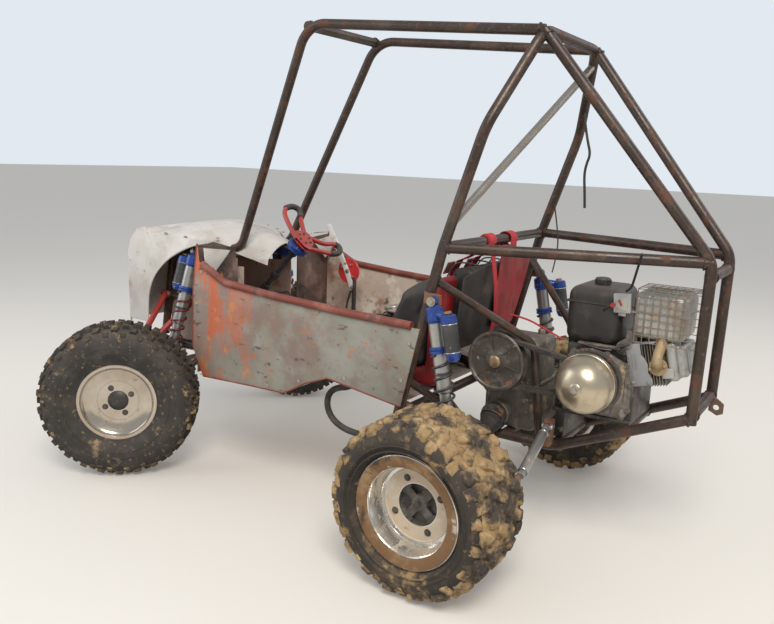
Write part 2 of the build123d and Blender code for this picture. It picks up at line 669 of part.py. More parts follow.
# Wheels: name, outer axis, rolling radius, tyre width, tread width, rim width, outer lip, disc place
REAR_Y = REAR_RING_Y - REAR_RIM_WIDTH / 2
WHEELS = []
for name, side in SIDES:
    hub = at(KINGPIN_X, side * KINGPIN_Y, FRONT_R) + outward(side) * WHEEL_OFFSET
    WHEELS.append((f"front_{name}", Axis(hub, outward(side)), FRONT_R, FRONT_WIDTH, FRONT_TREAD,
                   FRONT_RIM_WIDTH, FLANGE_R, FLANGE_WALL, FRONT_DISC))
    hub = at(0, side * REAR_Y, REAR_R)
    WHEELS.append((f"rear_{name}", Axis(hub, Vector(0, side, 0)), REAR_R, REAR_WIDTH, REAR_TREAD,
                   REAR_RIM_WIDTH, REAR_RING_R, 8.0, REAR_DISC))
HUB_HOLE = 46.0
HUB_FLANGE_R = 62.0
HUB_FLANGE = 10.0
HUB_BARREL_R = 26.0
STUB_R = 17.0
CARRIER_IN = 402.0
CARRIER_OUT = 440.0

for name, axle, roll, width, tread, rim_width, lip, lip_wall, disc in WHEELS:
    front = name.startswith("front")
    across = Plane(origin=axle.position, x_dir=axle.direction, z_dir=axle.direction.cross(Vector(0, 0, 1)))
    outer_bead = rim_width / 2 - lip_wall - SEAT_GAP
    inner_bead = rim_width / 2 - FLANGE_WALL - SEAT_GAP
    bead = BEAD_R + SEAT_GAP
    rows, lugs, height = ((FRONT_TREAD_ROWS, FRONT_LUGS, FRONT_LUG) if front
                          else (REAR_TREAD_ROWS, REAR_LUGS, REAR_LUG))
    base = roll - height
    shell = ((-inner_bead, FLANGE_R + 1), (-width / 2, (FLANGE_R + base) / 2 - SIDEWALL_BELLY),
             (-tread / 2 - SHOULDER, base - SHOULDER_DROP), (-tread / 2, base), (tread / 2, base),
             (tread / 2 + SHOULDER, base - SHOULDER_DROP), (width / 2, (lip + base) / 2 - SIDEWALL_BELLY),
             (outer_bead, lip + 1))
    with BuildPart() as tyre:
        for along, radius in shell:
            with BuildSketch(Plane(origin=axle.position + axle.direction * along, x_dir=UP, z_dir=axle.direction)):
                RegularPolygon(radius, 2 * lugs)
        loft(ruled=True)
        with BuildSketch(Plane(origin=axle.position - axle.direction * width / 2, x_dir=UP, z_dir=axle.direction)):
            RegularPolygon(bead, 2 * lugs, major_radius=False)
        extrude(amount=width, mode=Mode.SUBTRACT)
        flat = base * cos(radians(90 / lugs))
        for place, wide, long, odd in rows:
            top = sqrt(roll ** 2 - (long / 2) ** 2)
            seats = []
            for number in range(lugs):
                out = Vector(UP).rotate(Axis((0, 0, 0), axle.direction), (number + 0.25 + odd / 2) * 360 / lugs)
                seats.append(Plane(origin=axle.position + axle.direction * place + out * (flat - LUG_ROOT),
                                   x_dir=axle.direction, z_dir=out))
            with BuildSketch(*seats):
                Rectangle(wide, long)
            extrude(amount=top - flat + LUG_ROOT)
    save(tyre, f"tyre_{name}")

    inside = BEAD_R - RIM_WALL
    with BuildPart() as rim:
        turned([(-rim_width / 2, FLANGE_R), (-rim_width / 2 + FLANGE_WALL, FLANGE_R),
                (-rim_width / 2 + FLANGE_WALL, BEAD_R), (rim_width / 2 - lip_wall, BEAD_R),
                (rim_width / 2 - lip_wall, lip), (rim_width / 2, lip), (rim_width / 2, inside),
                (disc, inside), (disc, HUB_HOLE), (disc - DISC_WALL, HUB_HOLE), (disc - DISC_WALL, inside),
                (-rim_width / 2, inside)], axle)
    save(rim, f"rim_{name}")

    flange = disc - DISC_WALL - SEAT_GAP
    with BuildPart() as hub:
        if front:
            turned([(-60, SPINDLE_R + RUN_GAP), (-60, HUB_BARREL_R), (flange - HUB_FLANGE, HUB_BARREL_R),
                    (flange - HUB_FLANGE, HUB_FLANGE_R), (flange, HUB_FLANGE_R), (flange, 28), (disc + 14, 28),
                    (disc + 14, 0), (disc - 11, 0), (disc - 11, SPINDLE_R + RUN_GAP)], axle)
        else:
            turned([(CARRIER_IN - REAR_Y - 4, 0), (CARRIER_IN - REAR_Y - 4, STUB_R),
                    (flange - 70, STUB_R), (flange - 60, HUB_BARREL_R), (flange - HUB_FLANGE, HUB_BARREL_R),
                    (flange - HUB_FLANGE, HUB_FLANGE_R), (flange, HUB_FLANGE_R), (flange, 30), (disc + 16, 26),
                    (disc + 16, 0)], axle)
    save(hub, f"hub_{name}")

# Rear arms: pivot on the bar under the tub, bearing carrier, shock seat and lateral link's lug
PIVOT_X, PIVOT_Z = 233.0, 404.0
PIVOT_Y = 330.0
CARRIER_R = 38.0
ARM_ROD = 28.0
LINK_LUG = (-205, 422, 318)
SHOCK_Y = 405.0
SHOCK_EYE_R = 14.0
SHOCK_FOOT = (18, SHOCK_Y, 345)
with BuildPart() as rear_arms:
    for name, side in SIDES:
        rod(route([(PIVOT_X, PIVOT_Y, PIVOT_Z), (90, 396, 300), (0, SHOCK_Y, REAR_R)], side), (90,), ARM_ROD)
        rod(route([(0, SHOCK_Y + 5, REAR_R), LINK_LUG], side), None, ARM_ROD)
        with BuildSketch(side_plane(side * PIVOT_Y)):
            with Locations((PIVOT_X, PIVOT_Z)):
                Circle(TUBE / 2 + 10)
        extrude(amount=16, both=True)
        with BuildSketch(side_plane(side * (CARRIER_IN + CARRIER_OUT) / 2)):
            with Locations((0, REAR_R)):
                Circle(CARRIER_R)
            with Locations((SHOCK_FOOT[0], REAR_R + 30)):
                Rectangle(30, 2 * (SHOCK_FOOT[2] - REAR_R - 30))
        extrude(amount=(CARRIER_OUT - CARRIER_IN) / 2, both=True)
        notch(route([(PIVOT_X, 373, PIVOT_Z), (PIVOT_X, -373, PIVOT_Z)]))
        with BuildSketch(side_plane(side * SHOCK_Y)):
            with Locations((0, REAR_R)):
                Circle(STUB_R + RUN_GAP)
            with Locations((SHOCK_FOOT[0], SHOCK_FOOT[2])):
                Circle(SHOCK_EYE_R + SEAT_GAP)
        extrude(amount=70, both=True, mode=Mode.SUBTRACT)
save(rear_arms, "rear_arms")

# Silver lateral links from the lower rails out to the arms' lugs
LINK_IN = (-188, 182, 405)
with BuildPart() as lateral_links:
    for name, side in SIDES:
        rod(route([LINK_IN, LINK_LUG], side), None, 30)
        notch(route([(0, SHOCK_Y + 5, REAR_R), LINK_LUG], side), None, ARM_ROD)
        with BuildSketch(side_plane(side * SHOCK_Y)):
            with Locations((LINK_LUG[0], LINK_LUG[2])):
                Circle(24)
        extrude(amount=40, both=True, mode=Mode.SUBTRACT)
save(lateral_links, "lateral_links")

# Brackets on the cage: front shock stubs, rear shock tabs and the lateral links' lugs
REAR_SHOCK_TOP = (108, SHOCK_Y, 785)
with BuildPart() as brackets:
    for name, side in SIDES:
        x, y, z = FRONT_SHOCK_TOP
        rod(route([(x, 150, z), (x, y - SHOCK_EYE_HALF - SEAT_GAP, z)], side), None, BRACE_TUBE)
        x, y, z = REAR_SHOCK_TOP
        with BuildSketch(side_plane(side * (y - SHOCK_EYE_HALF - SEAT_GAP - TAB))):
            with BuildLine():
                Polyline((x - 14, z - 13), (x + 40, z - 13), (x + 40, z + 22), (x - 14, z + 16), close=True)
            make_face()
        extrude(amount=TAB, both=True)
        with BuildSketch(cross_plane(LINK_IN[0])):
            with Locations((side * 168, 381)):
                Rectangle(36, 82)
        extrude(amount=10, both=True)
        link = (Vector(LINK_IN) - Vector(LINK_LUG)).normalized() * SEAT_GAP
        notch(route([tuple(Vector(LINK_IN) + link), LINK_LUG], side), None, 30)
        notch(route(LOWER_RAIL, side), LOWER_BENDS)
        notch(route(SIDE_RAIL, side), SIDE_RAIL_BENDS)
    notch(HOOP_ROUTE, HOOP_BENDS)
save(brackets, "brackets")

# Shocks: upper eye, lower eye, body radius; springs are turned rings on a sleeve
SHOCKS = (
    ("front", FRONT_SHOCK_TOP, FRONT_SHOCK_FOOT, (48, 0)),
    ("rear", REAR_SHOCK_TOP, SHOCK_FOOT, (-62, 30)),
)
SHOCK_BODY_R = 22.0
CAP_R = 27.0
NECK = 22.0
SPRING_IN = 24.0
SPRING_OUT = 31.0
COILS = 6
TANK_LENGTH = 122.0
with BuildPart() as shocks:
    for label, top, foot, tank in SHOCKS:
        for name, side in SIDES:
            axis, length = between(at(top[0], side * top[1], top[2]), at(foot[0], side * foot[1], foot[2]))
            turned([(8, 0), (8, 10), (NECK, 10), (NECK, CAP_R), (60, CAP_R), (60, SHOCK_BODY_R),
                    (length * 0.58, SHOCK_BODY_R), (length * 0.58, 8), (length - 40, 8), (length - 40, CAP_R),
                    (length - 30, CAP_R), (length - 30, 9), (length - 6, 9), (length - 6, 0)], axis)
            for place in (top, foot):
                with BuildSketch(side_plane(side * place[1])):
                    with Locations((place[0], place[2])):
                        Circle(SHOCK_EYE_R)
                extrude(amount=SHOCK_EYE_HALF, both=True)
            start = axis.position + axis.direction * 34 + Vector(tank[0], side * tank[1], 0)
            turned([(0, 0), (0, 25), (TANK_LENGTH, 25), (TANK_LENGTH, 0)], Axis(start, axis.direction))
            rod([axis.position + axis.direction * 40, start + axis.direction * 14], None, 30)
save(shocks, "shocks")

with BuildPart() as springs:
    for label, top, foot, tank in SHOCKS:
        for name, side in SIDES:
            axis, length = between(at(top[0], side * top[1], top[2]), at(foot[0], side * foot[1], foot[2]))
            low, high = length * 0.36, length - 40 - SEAT_GAP
            pitch = (high - low) / COILS
            wave = []
            for coil in range(COILS):
                place = low + coil * pitch
                wave += [(place, SPRING_OUT), (place + pitch * 0.45, SPRING_OUT),
                         (place + pitch * 0.5, SPRING_IN + 3), (place + pitch * 0.95, SPRING_IN + 3)]
            turned([(low, SPRING_IN)] + wave + [(high, SPRING_OUT), (high, SPRING_IN)], axis)
save(springs, "springs")

# Engine bay
GEARBOX_Y = 118.0
CV_Z = 397.0
GEARBOX_BASE = 331 + TUBE / 2 + SEAT_GAP
with BuildPart() as gearbox:
    with BuildSketch(level_plane(GEARBOX_BASE)):
        with Locations((-28, 0)):
            Rectangle(180, 2 * GEARBOX_Y)
    extrude(amount=500 - GEARBOX_BASE)
    with BuildSketch(level_plane(500)):
        with Locations((-36, 29)):
            Rectangle(152, 178)
    extrude(amount=140)
    with BuildSketch(side_plane(0)):
        with Locations((0, CV_Z)):
            Circle(42)
    extrude(amount=150, both=True)
save(gearbox, "gearbox")

with BuildPart() as half_shafts:
    for name, side in SIDES:
        shaft, length = between(at(0, side * (150 + SEAT_GAP), CV_Z), at(0, side * (CARRIER_IN - 9), REAR_R))
        turned([(22, 0), (22, 40), (40, 42), (62, 30), (84, 22), (90, 11), (length - 70, 11), (length - 60, 24),
                (length - 22, 32), (length - 22, 0)], shaft)
        with BuildSketch(side_plane(side * (150 + SEAT_GAP))):
            with Locations((0, CV_Z)):
                Circle(40)
        extrude(amount=-side * 34)
save(half_shafts, "half_shafts")

BELT_Y = 205.0
BELT_WIDTH = 22.0
BELT_WALL = 11.0
DRIVEN = (-18, 588, 94, 72)
PRIMARY = (-308, 575, 90, 40)
GROOVE = BELT_WIDTH / 2 + 0.5
for label, (x, z, outer, groove), inner_y, front in (
        ("driven_clutch", DRIVEN, GEARBOX_Y + SEAT_GAP, 0), ("primary_clutch", PRIMARY, GEARBOX_Y + SEAT_GAP, 1)):
    with BuildPart() as clutch:
        face = BELT_Y + GROOVE + 7
        profile = [(inner_y, 0), (inner_y, 14), (BELT_Y - GROOVE - 7, 14), (BELT_Y - GROOVE - 7, outer),
                   (BELT_Y - GROOVE, outer), (BELT_Y - GROOVE, groove), (BELT_Y + GROOVE, groove),
                   (BELT_Y + GROOVE, outer), (face, outer)]
        if front:
            profile += [(face, 87), (face + 34, 84), (face + 66, 70), (face + 86, 46), (face + 94, 18),
                        (face + 112, 12), (face + 112, 0)]
        else:
            profile += [(face, 82), (face - 3, 82), (face - 3, 26), (face + 26, 22), (face + 26, 0)]
        turned(profile, Axis(at(x, 0, z), Vector(0, 1, 0)))
    save(clutch, label)

with BuildPart() as drive_belt:
    with BuildSketch(side_plane(BELT_Y)):
        for grow, mode in ((BELT_WALL + SEAT_GAP, Mode.ADD), (SEAT_GAP, Mode.SUBTRACT)):
            with BuildSketch(side_plane(BELT_Y), mode=Mode.PRIVATE) as loop:
                for x, z, outer, groove in (DRIVEN, PRIMARY):
                    with Locations((x, z)):
                        Circle(groove + grow)
                make_hull()
            add(loop.sketch_local, mode=mode)
    extrude(amount=BELT_WIDTH / 2, both=True)
save(drive_belt, "drive_belt")

ENGINE_BASE = 422 + TUBE / 2 + SEAT_GAP
with BuildPart() as engine:
    with BuildSketch(level_plane(ENGINE_BASE)):
        with Locations((-295, 0)):
            Rectangle(240, 2 * GEARBOX_Y)
    extrude(amount=655 - ENGINE_BASE)
    with BuildSketch(level_plane(334 + TUBE / 2 + SEAT_GAP)):
        with Locations((-196, 0)):
            Rectangle(30, 200)
    extrude(amount=ENGINE_BASE - 334)
save(engine, "engine")

with BuildPart() as cylinder_shroud:
    with BuildSketch(side_plane(10)):
        with BuildLine():
            Polyline((-415.3, 545), (-415.3, 688), (-548, 688), (-576, 668), (-575, 610), (-545, 572), (-478, 548),
                     close=True)
        make_face()
    extrude(amount=100, both=True)
save(cylinder_shroud, "cylinder_shroud")

with BuildPart() as fuel_tank:
    with BuildSketch(level_plane(655 + SEAT_GAP)):
        with Locations((-266, -10)):
            RectangleRounded(172, 210, 34)
    extrude(amount=180)
    fillet(fuel_tank.faces().sort_by(Axis.Z)[-1].edges(), 24)
    with BuildSketch(level_plane(835)):
        with Locations((-262, 0)):
            Circle(24)
    extrude(amount=22)
save(fuel_tank, "fuel_tank")

MUFFLER_TOP = 842.0
with BuildPart() as muffler:
    with BuildSketch(level_plane(700)):
        with Locations((-462, 20)):
            RectangleRounded(156, 170, 30)
    extrude(amount=MUFFLER_TOP - 700)
    with BuildSketch(level_plane(688 + SEAT_GAP)):
        with Locations((-480, 70)):
            Circle(17)
    extrude(amount=14)
save(muffler, "muffler")

# Wire guard on the muffler's left side: x of the upright wires, z of the long ones
GUARD_WIRE = 5.0
GUARD_Y = 105 + SEAT_GAP + GUARD_WIRE / 2
GUARD_X = (-574, -540, -505, -470, -435, -400)
GUARD_Z = (694, 746, 798, 850)
with BuildPart() as muffler_guard:
    for x in GUARD_X:
        rod(route([(x, GUARD_Y, GUARD_Z[0]), (x, GUARD_Y, GUARD_Z[-1])]), None, GUARD_WIRE)
    for z in GUARD_Z:
        rod(route([(GUARD_X[0], GUARD_Y, z), (GUARD_X[-1], GUARD_Y, z)]), None, GUARD_WIRE)
save(muffler_guard, "muffler_guard")

# Tow eye: a plate behind the lower rear crossbar, with the hole across the buggy
TOW_WALL = 8.0
TOW_HOLE_R = 9.0
TOW_Y = -100.0
with BuildPart() as tow_eye:
    with BuildSketch(side_plane(TOW_Y)):
        with BuildLine():
            Polyline((-592, 472), (-592, 520), (-616, 510), (TOW_REAR, 497), (TOW_REAR, 468), (-618, 460),
                     close=True)
        make_face()
        with Locations((-613, 484)):
            Circle(TOW_HOLE_R, mode=Mode.SUBTRACT)
    extrude(amount=TOW_WALL / 2, both=True)
    notch(route([(-589, 138, 512), (-589, -138, 512)]))
save(tow_eye, "tow_eye")


def cord_bends(points):
    """Radius for each turn of a cord's route, as large as its runs allow."""
    bends = []
    for before, here, after in zip(points, points[1:], points[2:]):
        first, second = here - before, after - here
        half_turn = radians(first.get_angle(second)) / 2
        bends.append(CORD_SHARE * min(first.length, second.length) / tan(half_turn))
    return bends


# Cords: a strap that hangs from the hoop and a hose that loops down from the tub's floor
CORD_SHARE = 0.45
CORDS = (
    # node, diameter, route from the exit
    ("hoop_strap", 9.0,
     [(-42, -321, 1380), (-52, -302, 1345), (-70, -300, 1272), (-85, -296, 1230), (-75, -292, 1195),
      (-71, -290, 1159), (-80, -288, 1092), (-84, -287, 1046)]),
    ("belly_hose", 22.0,
     [(455, 292, 467.5), (461, 292, 440), (487, 294, 421), (525, 297, 414), (556, 299, 394), (569, 300, 360),
      (563, 300, 324), (540, 299, 294), (504, 297, 275), (460, 294, 266), (408, 290, 265), (360, 287, 276),
      (322, 284, 304), (300, 282, 344), (290, 281, 392), (286, 280, 446.5)]),
)
for label, diameter, points in CORDS:
    turns = cord_bends(route(points))
    print(label, "radii", [round(turn) for turn in turns])
    with BuildPart() as cord:
        rod(route(points), turns, diameter)
        notch(HOOP_ROUTE, HOOP_BENDS)
        add(tub_floor.part, mode=Mode.SUBTRACT)
    save(cord, label)
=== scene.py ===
"""Looks of a home-built dune buggy: bent tube cage, primer-grey tub, belt drive at the rear.

Sizes in the classes are millimetres from the rear axle: x ahead, y left, z up from the floor.
place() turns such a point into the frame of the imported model, in metres.
"""

import json
import logging
import math
import random
from dataclasses import dataclass
from enum import Enum
from typing import Iterable, Sequence

import bmesh
import bpy
from mathutils import Matrix, Vector, noise

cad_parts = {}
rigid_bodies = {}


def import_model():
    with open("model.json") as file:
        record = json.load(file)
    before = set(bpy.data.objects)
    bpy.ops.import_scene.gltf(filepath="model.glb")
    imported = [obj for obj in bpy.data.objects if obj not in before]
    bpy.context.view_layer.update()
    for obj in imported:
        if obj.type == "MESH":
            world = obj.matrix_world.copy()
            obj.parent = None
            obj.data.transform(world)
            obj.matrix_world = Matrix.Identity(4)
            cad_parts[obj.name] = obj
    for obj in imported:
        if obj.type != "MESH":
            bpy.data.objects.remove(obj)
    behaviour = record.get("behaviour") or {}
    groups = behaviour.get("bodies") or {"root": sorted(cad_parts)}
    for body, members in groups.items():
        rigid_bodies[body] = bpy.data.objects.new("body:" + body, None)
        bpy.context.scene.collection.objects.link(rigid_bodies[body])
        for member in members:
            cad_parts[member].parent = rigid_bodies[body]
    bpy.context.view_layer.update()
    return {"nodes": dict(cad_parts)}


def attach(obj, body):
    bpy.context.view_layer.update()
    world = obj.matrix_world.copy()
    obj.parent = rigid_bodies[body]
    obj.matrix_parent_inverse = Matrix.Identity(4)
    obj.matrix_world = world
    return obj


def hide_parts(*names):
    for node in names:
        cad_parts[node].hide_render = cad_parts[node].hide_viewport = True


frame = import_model()
LOG = logging.getLogger("buggy")
MM = 0.001
MID_X = 529.2763
TURN = 2 * math.pi
STEER = math.radians(40.4)
Shape, Piece = bmesh.types.BMesh, bpy.types.Object
Tree, Socket = bpy.types.NodeTree, bpy.types.NodeSocket
Point = Sequence[float]
Colour = tuple[float, float, float]
MUD_SEED = 5
SIDES = (("left", 1), ("right", -1))
BOTH = (1, -1)
AHEAD, LEFT, UP = Vector((1, 0, 0)), Vector((0, 1, 0)), Vector((0, 0, 1))


def place(x: float, y: float, z: float) -> Vector:
    """A point in millimetres from the rear axle, in the model's frame in metres."""
    return Vector(((x - MID_X) * MM, y * MM, z * MM))


def at(x: float, y: float, z: float) -> Matrix:
    """Upright frame at such a point."""
    return Matrix.Translation(place(x, y, z))


def placed(*points: Point) -> list[Vector]:
    """Several such points."""
    return [place(*point) for point in points]


def slid(height: float) -> Matrix:
    """Step along a frame's z, in millimetres."""
    return Matrix.Translation((0, 0, height * MM))


def basis(origin: Vector, along: Vector, side: Vector | None = None) -> Matrix:
    """Frame whose z runs along a direction, for pieces that are made at the origin.

    Args:
        origin: Where the frame's origin goes.
        along: Direction of its z axis.
        side: Rough direction of its x axis.

    Returns:
        The matrix from that frame to the model's.
    """
    z = along.normalized()
    hint = side if side is not None else (UP if abs(z.z) < 0.9 else AHEAD)
    x = (hint - z * hint.dot(z)).normalized()
    return Matrix.Translation(origin) @ Matrix((x, z.cross(x), z)).transposed().to_4x4()


def aimed(x: float, y: float, z: float, along: Vector, side: Vector | None = None) -> Matrix:
    """Such a frame at a point in the CAD's millimetres."""
    return basis(place(x, y, z), along, side)


def wired(tree: Tree, kind: str, inputs: dict | None = None, **settings: object) -> bpy.types.Node:
    """Add a shader node, set it up, and give each named input its number or its link.

    Args:
        tree: The tree that it goes into.
        kind: Its type, without the leading ShaderNode.
        inputs: A value or a socket for each input's name or number.
        **settings: Its own settings, such as a mode.

    Returns:
        The node.
    """
    node = tree.nodes.new(f"ShaderNode{kind}")
    for key, value in settings.items():
        setattr(node, key, value)
    for label, value in (inputs or {}).items():
        if isinstance(value, Socket):
            tree.links.new(value, node.inputs[label])
        else:
            node.inputs[label].default_value = value
    return node


def outward(side: int) -> Vector:
    """Direction out of a front wheel's face, with the steering on its left stop."""
    return Vector((-side * math.sin(STEER), side * math.cos(STEER), 0))


# Camera, floor and light


def set_camera() -> None:
    """Camera at the photograph's place: fitted to the wheels and the cage."""
    yaw, pitch, roll = math.radians(-57.15), math.radians(-11.338), math.radians(2.229)
    ahead = Vector((math.cos(yaw) * math.cos(pitch), math.sin(yaw) * math.cos(pitch), math.sin(pitch)))
    level = Vector((math.sin(yaw), -math.cos(yaw), 0))
    upright = level.cross(ahead)
    right = level * math.cos(roll) + upright * math.sin(roll)
    above = upright * math.cos(roll) - level * math.sin(roll)
    data = bpy.data.cameras.new("photo_camera")
    data.sensor_width = 36.0
    data.lens = 36.01
    data.clip_end = 100
    camera = bpy.data.objects.new("photo_camera", data)
    camera.matrix_world = at(-990.02, 2353, 1195) @ Matrix(
        (right, above, -ahead)).transposed().to_4x4()
    bpy.context.collection.objects.link(camera)
    bpy.context.scene.camera = camera


def pale_surface(name: str, colour: Colour, glow: float) -> bpy.types.Material:
    """Plain pale material whose brightness is lifted for the camera, glossy and transmission rays.

    Args:
        name: Its name.
        colour: Its colour.
        glow: Strength of the lift.

    Returns:
        The material.
    """
    material = bpy.data.materials.new(name)
    material.use_nodes = True
    tree = material.node_tree
    shader = tree.nodes["Principled BSDF"]
    for label, value in (("Base Color", (*colour, 1)), ("Roughness", 0.95),
                         ("Emission Color", (*colour, 1))):
        shader.inputs[label].default_value = value
    rays = wired(tree, "LightPath").outputs
    seen = Groups.sums(tree, "MAXIMUM", rays["Is Camera Ray"],
                       Groups.sums(tree, "MAXIMUM", rays["Is Glossy Ray"], rays["Is Transmission Ray"]))
    tree.links.new(Groups.sums(tree, "MULTIPLY", seen, glow), shader.inputs["Emission Strength"])
    return material


def set_stage() -> None:
    """Pale floor, pale world and three soft lamps."""
    bm = bmesh.new()
    bmesh.ops.create_grid(bm, x_segments=1, y_segments=1, size=40)
    mesh = bpy.data.meshes.new("floor")
    bm.to_mesh(mesh)
    bm.free()
    floor = bpy.data.objects.new("floor", mesh)
    mesh.materials.append(pale_surface("pale_floor", (0.72, 0.68, 0.62), 0.20))
    bpy.context.collection.objects.link(floor)
    world = bpy.data.worlds.new("soft_sky")
    bpy.context.scene.world = world
    world.use_nodes = True
    tree = world.node_tree
    tree.nodes.clear()
    lit = wired(tree, "Background", {"Color": (0.86, 0.92, 1.0, 1), "Strength": 0.50})
    shown = wired(tree, "Background", {"Color": (0.80, 0.86, 0.92, 1), "Strength": 0.95})
    rays = wired(tree, "LightPath").outputs
    seen = Groups.sums(tree, "MAXIMUM", rays["Is Camera Ray"], rays["Is Transmission Ray"])
    mix = wired(tree, "MixShader", {"Fac": seen, 1: lit.outputs["Background"],
                                    2: shown.outputs["Background"]})
    wired(tree, "OutputWorld", {"Surface": mix.outputs["Shader"]})
    for name, spot, size, power, tint in (("sun_softbox", (-2.4, 3.4, 4.6), 2.2, 215, (1.0, 0.96, 0.90)),
                                          ("front_fill", (3.4, 2.6, 2.6), 3.0, 55, (0.92, 0.96, 1.0)),
                                          ("back_fill", (-3.0, -3.0, 3.4), 3.0, 50, (1.0, 0.97, 0.93))):
        data = bpy.data.lights.new(name, "AREA")
        data.energy, data.size, data.color = power, size, tint
        lamp = bpy.data.objects.new(name, data)
        lamp.matrix_world = basis(Vector(spot), Vector(spot) - Vector((0, 0, 0.5)))
        bpy.context.collection.objects.link(lamp)
    bpy.context.scene.view_settings.view_transform = "Standard"


# Shader groups that several finishes share


class Groups:
    """Builds each shared shader node group once and hands it out by name."""

    made: dict[str, Tree] = {}

    @staticmethod
    def new(name: str, inputs: Iterable[tuple[str, str, float]],
            outputs: Iterable[tuple[str, str]]) -> tuple:
        """Start an empty group.

        Args:
            name: The group's name.
            inputs: Name, socket kind and default of each input.
            outputs: Name and socket kind of each output.

        Returns:
            The tree, its input node and its output node.
        """
        tree = bpy.data.node_groups.new(name, "ShaderNodeTree")
        for label, kind, value in inputs:
            socket = tree.interface.new_socket(label, in_out="INPUT", socket_type=kind)
            if kind == "NodeSocketFloat":
                socket.default_value = value
        for label, kind in outputs:
            tree.interface.new_socket(label, in_out="OUTPUT", socket_type=kind)
        return tree, tree.nodes.new("NodeGroupInput"), tree.nodes.new("NodeGroupOutput")

    @classmethod
    def patches(cls) -> Tree:
        """Noise-shaped patches: Cover is the share they take, Soft the width of their edge."""
        if "patches" not in cls.made:
            tree, start, end = cls.new(
                "patches",
                [("Vector", "NodeSocketVector", 0), ("Scale", "NodeSocketFloat", 20),
                 ("Cover", "NodeSocketFloat", 0.3), ("Soft", "NodeSocketFloat", 0.05),
                 ("Seed", "NodeSocketFloat", 0)],
                [("Mask", "NodeSocketFloat")])
            spots = wired(tree, "TexNoise", {"Vector": start.outputs["Vector"],
                                             "Scale": start.outputs["Scale"], "W": start.outputs["Seed"],
                                             "Detail": 6, "Roughness": 0.62},
                          noise_dimensions="4D")
            level = cls.sums(tree, "MULTIPLY_ADD", start.outputs["Cover"], -0.42, 0.71)
            cut = wired(tree, "MapRange", {"Value": spots.outputs["Fac"],
                                           "From Min": cls.sums(tree, "SUBTRACT", level,
                                                                start.outputs["Soft"]),
                                           "From Max": cls.sums(tree, "ADD", level, start.outputs["Soft"])},
                        interpolation_type="SMOOTHSTEP")
            tree.links.new(cut.outputs["Result"], end.inputs["Mask"])
            cls.made["patches"] = tree
        return cls.made["patches"]

    @classmethod
    def settled(cls) -> Tree:
        """Dust that lies on upward faces, and mud that gets thicker towards the floor."""
        if "settled" not in cls.made:
            tree, start, end = cls.new(
                "settled",
                [("Dust", "NodeSocketFloat", 0.3), ("Mud Top", "NodeSocketFloat", 0.3),
                 ("Seed", "NodeSocketFloat", 0)],
                [("Dust", "NodeSocketFloat"), ("Mud", "NodeSocketFloat")])
            around = wired(tree, "TexCoord").outputs["Object"]
            normal = wired(tree, "SeparateXYZ", {"Vector": wired(tree, "NewGeometry").outputs["Normal"]})
            spot = wired(tree, "SeparateXYZ", {"Vector": around})
            spots = wired(tree, "TexNoise", {"Vector": around, "W": start.outputs["Seed"], "Scale": 26,
                                             "Detail": 5},
                          noise_dimensions="4D").outputs["Fac"]
            up = wired(tree, "MapRange", {"Value": cls.sums(tree, "ADD", normal.outputs["Z"], spots),
                                          "From Min": 0.1, "From Max": 1.5})
            dust = cls.sums(tree, "MULTIPLY", up.outputs["Result"], start.outputs["Dust"])
            tree.links.new(dust, end.inputs["Dust"])
            over = cls.sums(tree, "SUBTRACT", spot.outputs["Z"], start.outputs["Mud Top"])
            rise = wired(tree, "MapRange", {"Value": cls.sums(tree, "MULTIPLY_ADD", spots, 0.28, over),
                                            "From Min": 0.16, "From Max": -0.04},
                         interpolation_type="SMOOTHSTEP")
            tree.links.new(rise.outputs["Result"], end.inputs["Mud"])
            cls.made["settled"] = tree
        return cls.made["settled"]

    @staticmethod
    def sums(tree: Tree, kind: str, *values: Socket | float) -> Socket:
        """Add a Math node of that kind on sockets or numbers and return its result."""
        return wired(tree, "Math", dict(enumerate(values)), operation=kind).outputs[0]


class Texture(Enum):
    """Fine texture of a surface."""

    CAST = "cast"
    LEATHER = "leather"
    WEAVE = "weave"
    BRUSHED = "brushed"


@dataclass(frozen=True)
class Patch:
    """One colour that lies over the base in noise-shaped patches.

    stretch scales the noise along x, y and z; lift raises (or sinks) the patch in the bump.
    """

    colour: Colour
    scale: float
    cover: float
    soft: float = 0.05
    roughness: float = 0.8
    metallic: float = 0.0
    lift: float = 0.0
    stretch: tuple[float, float, float] = (1, 1, 1)
    weight: float = 1.0
    fade: tuple[float, float] | None = None


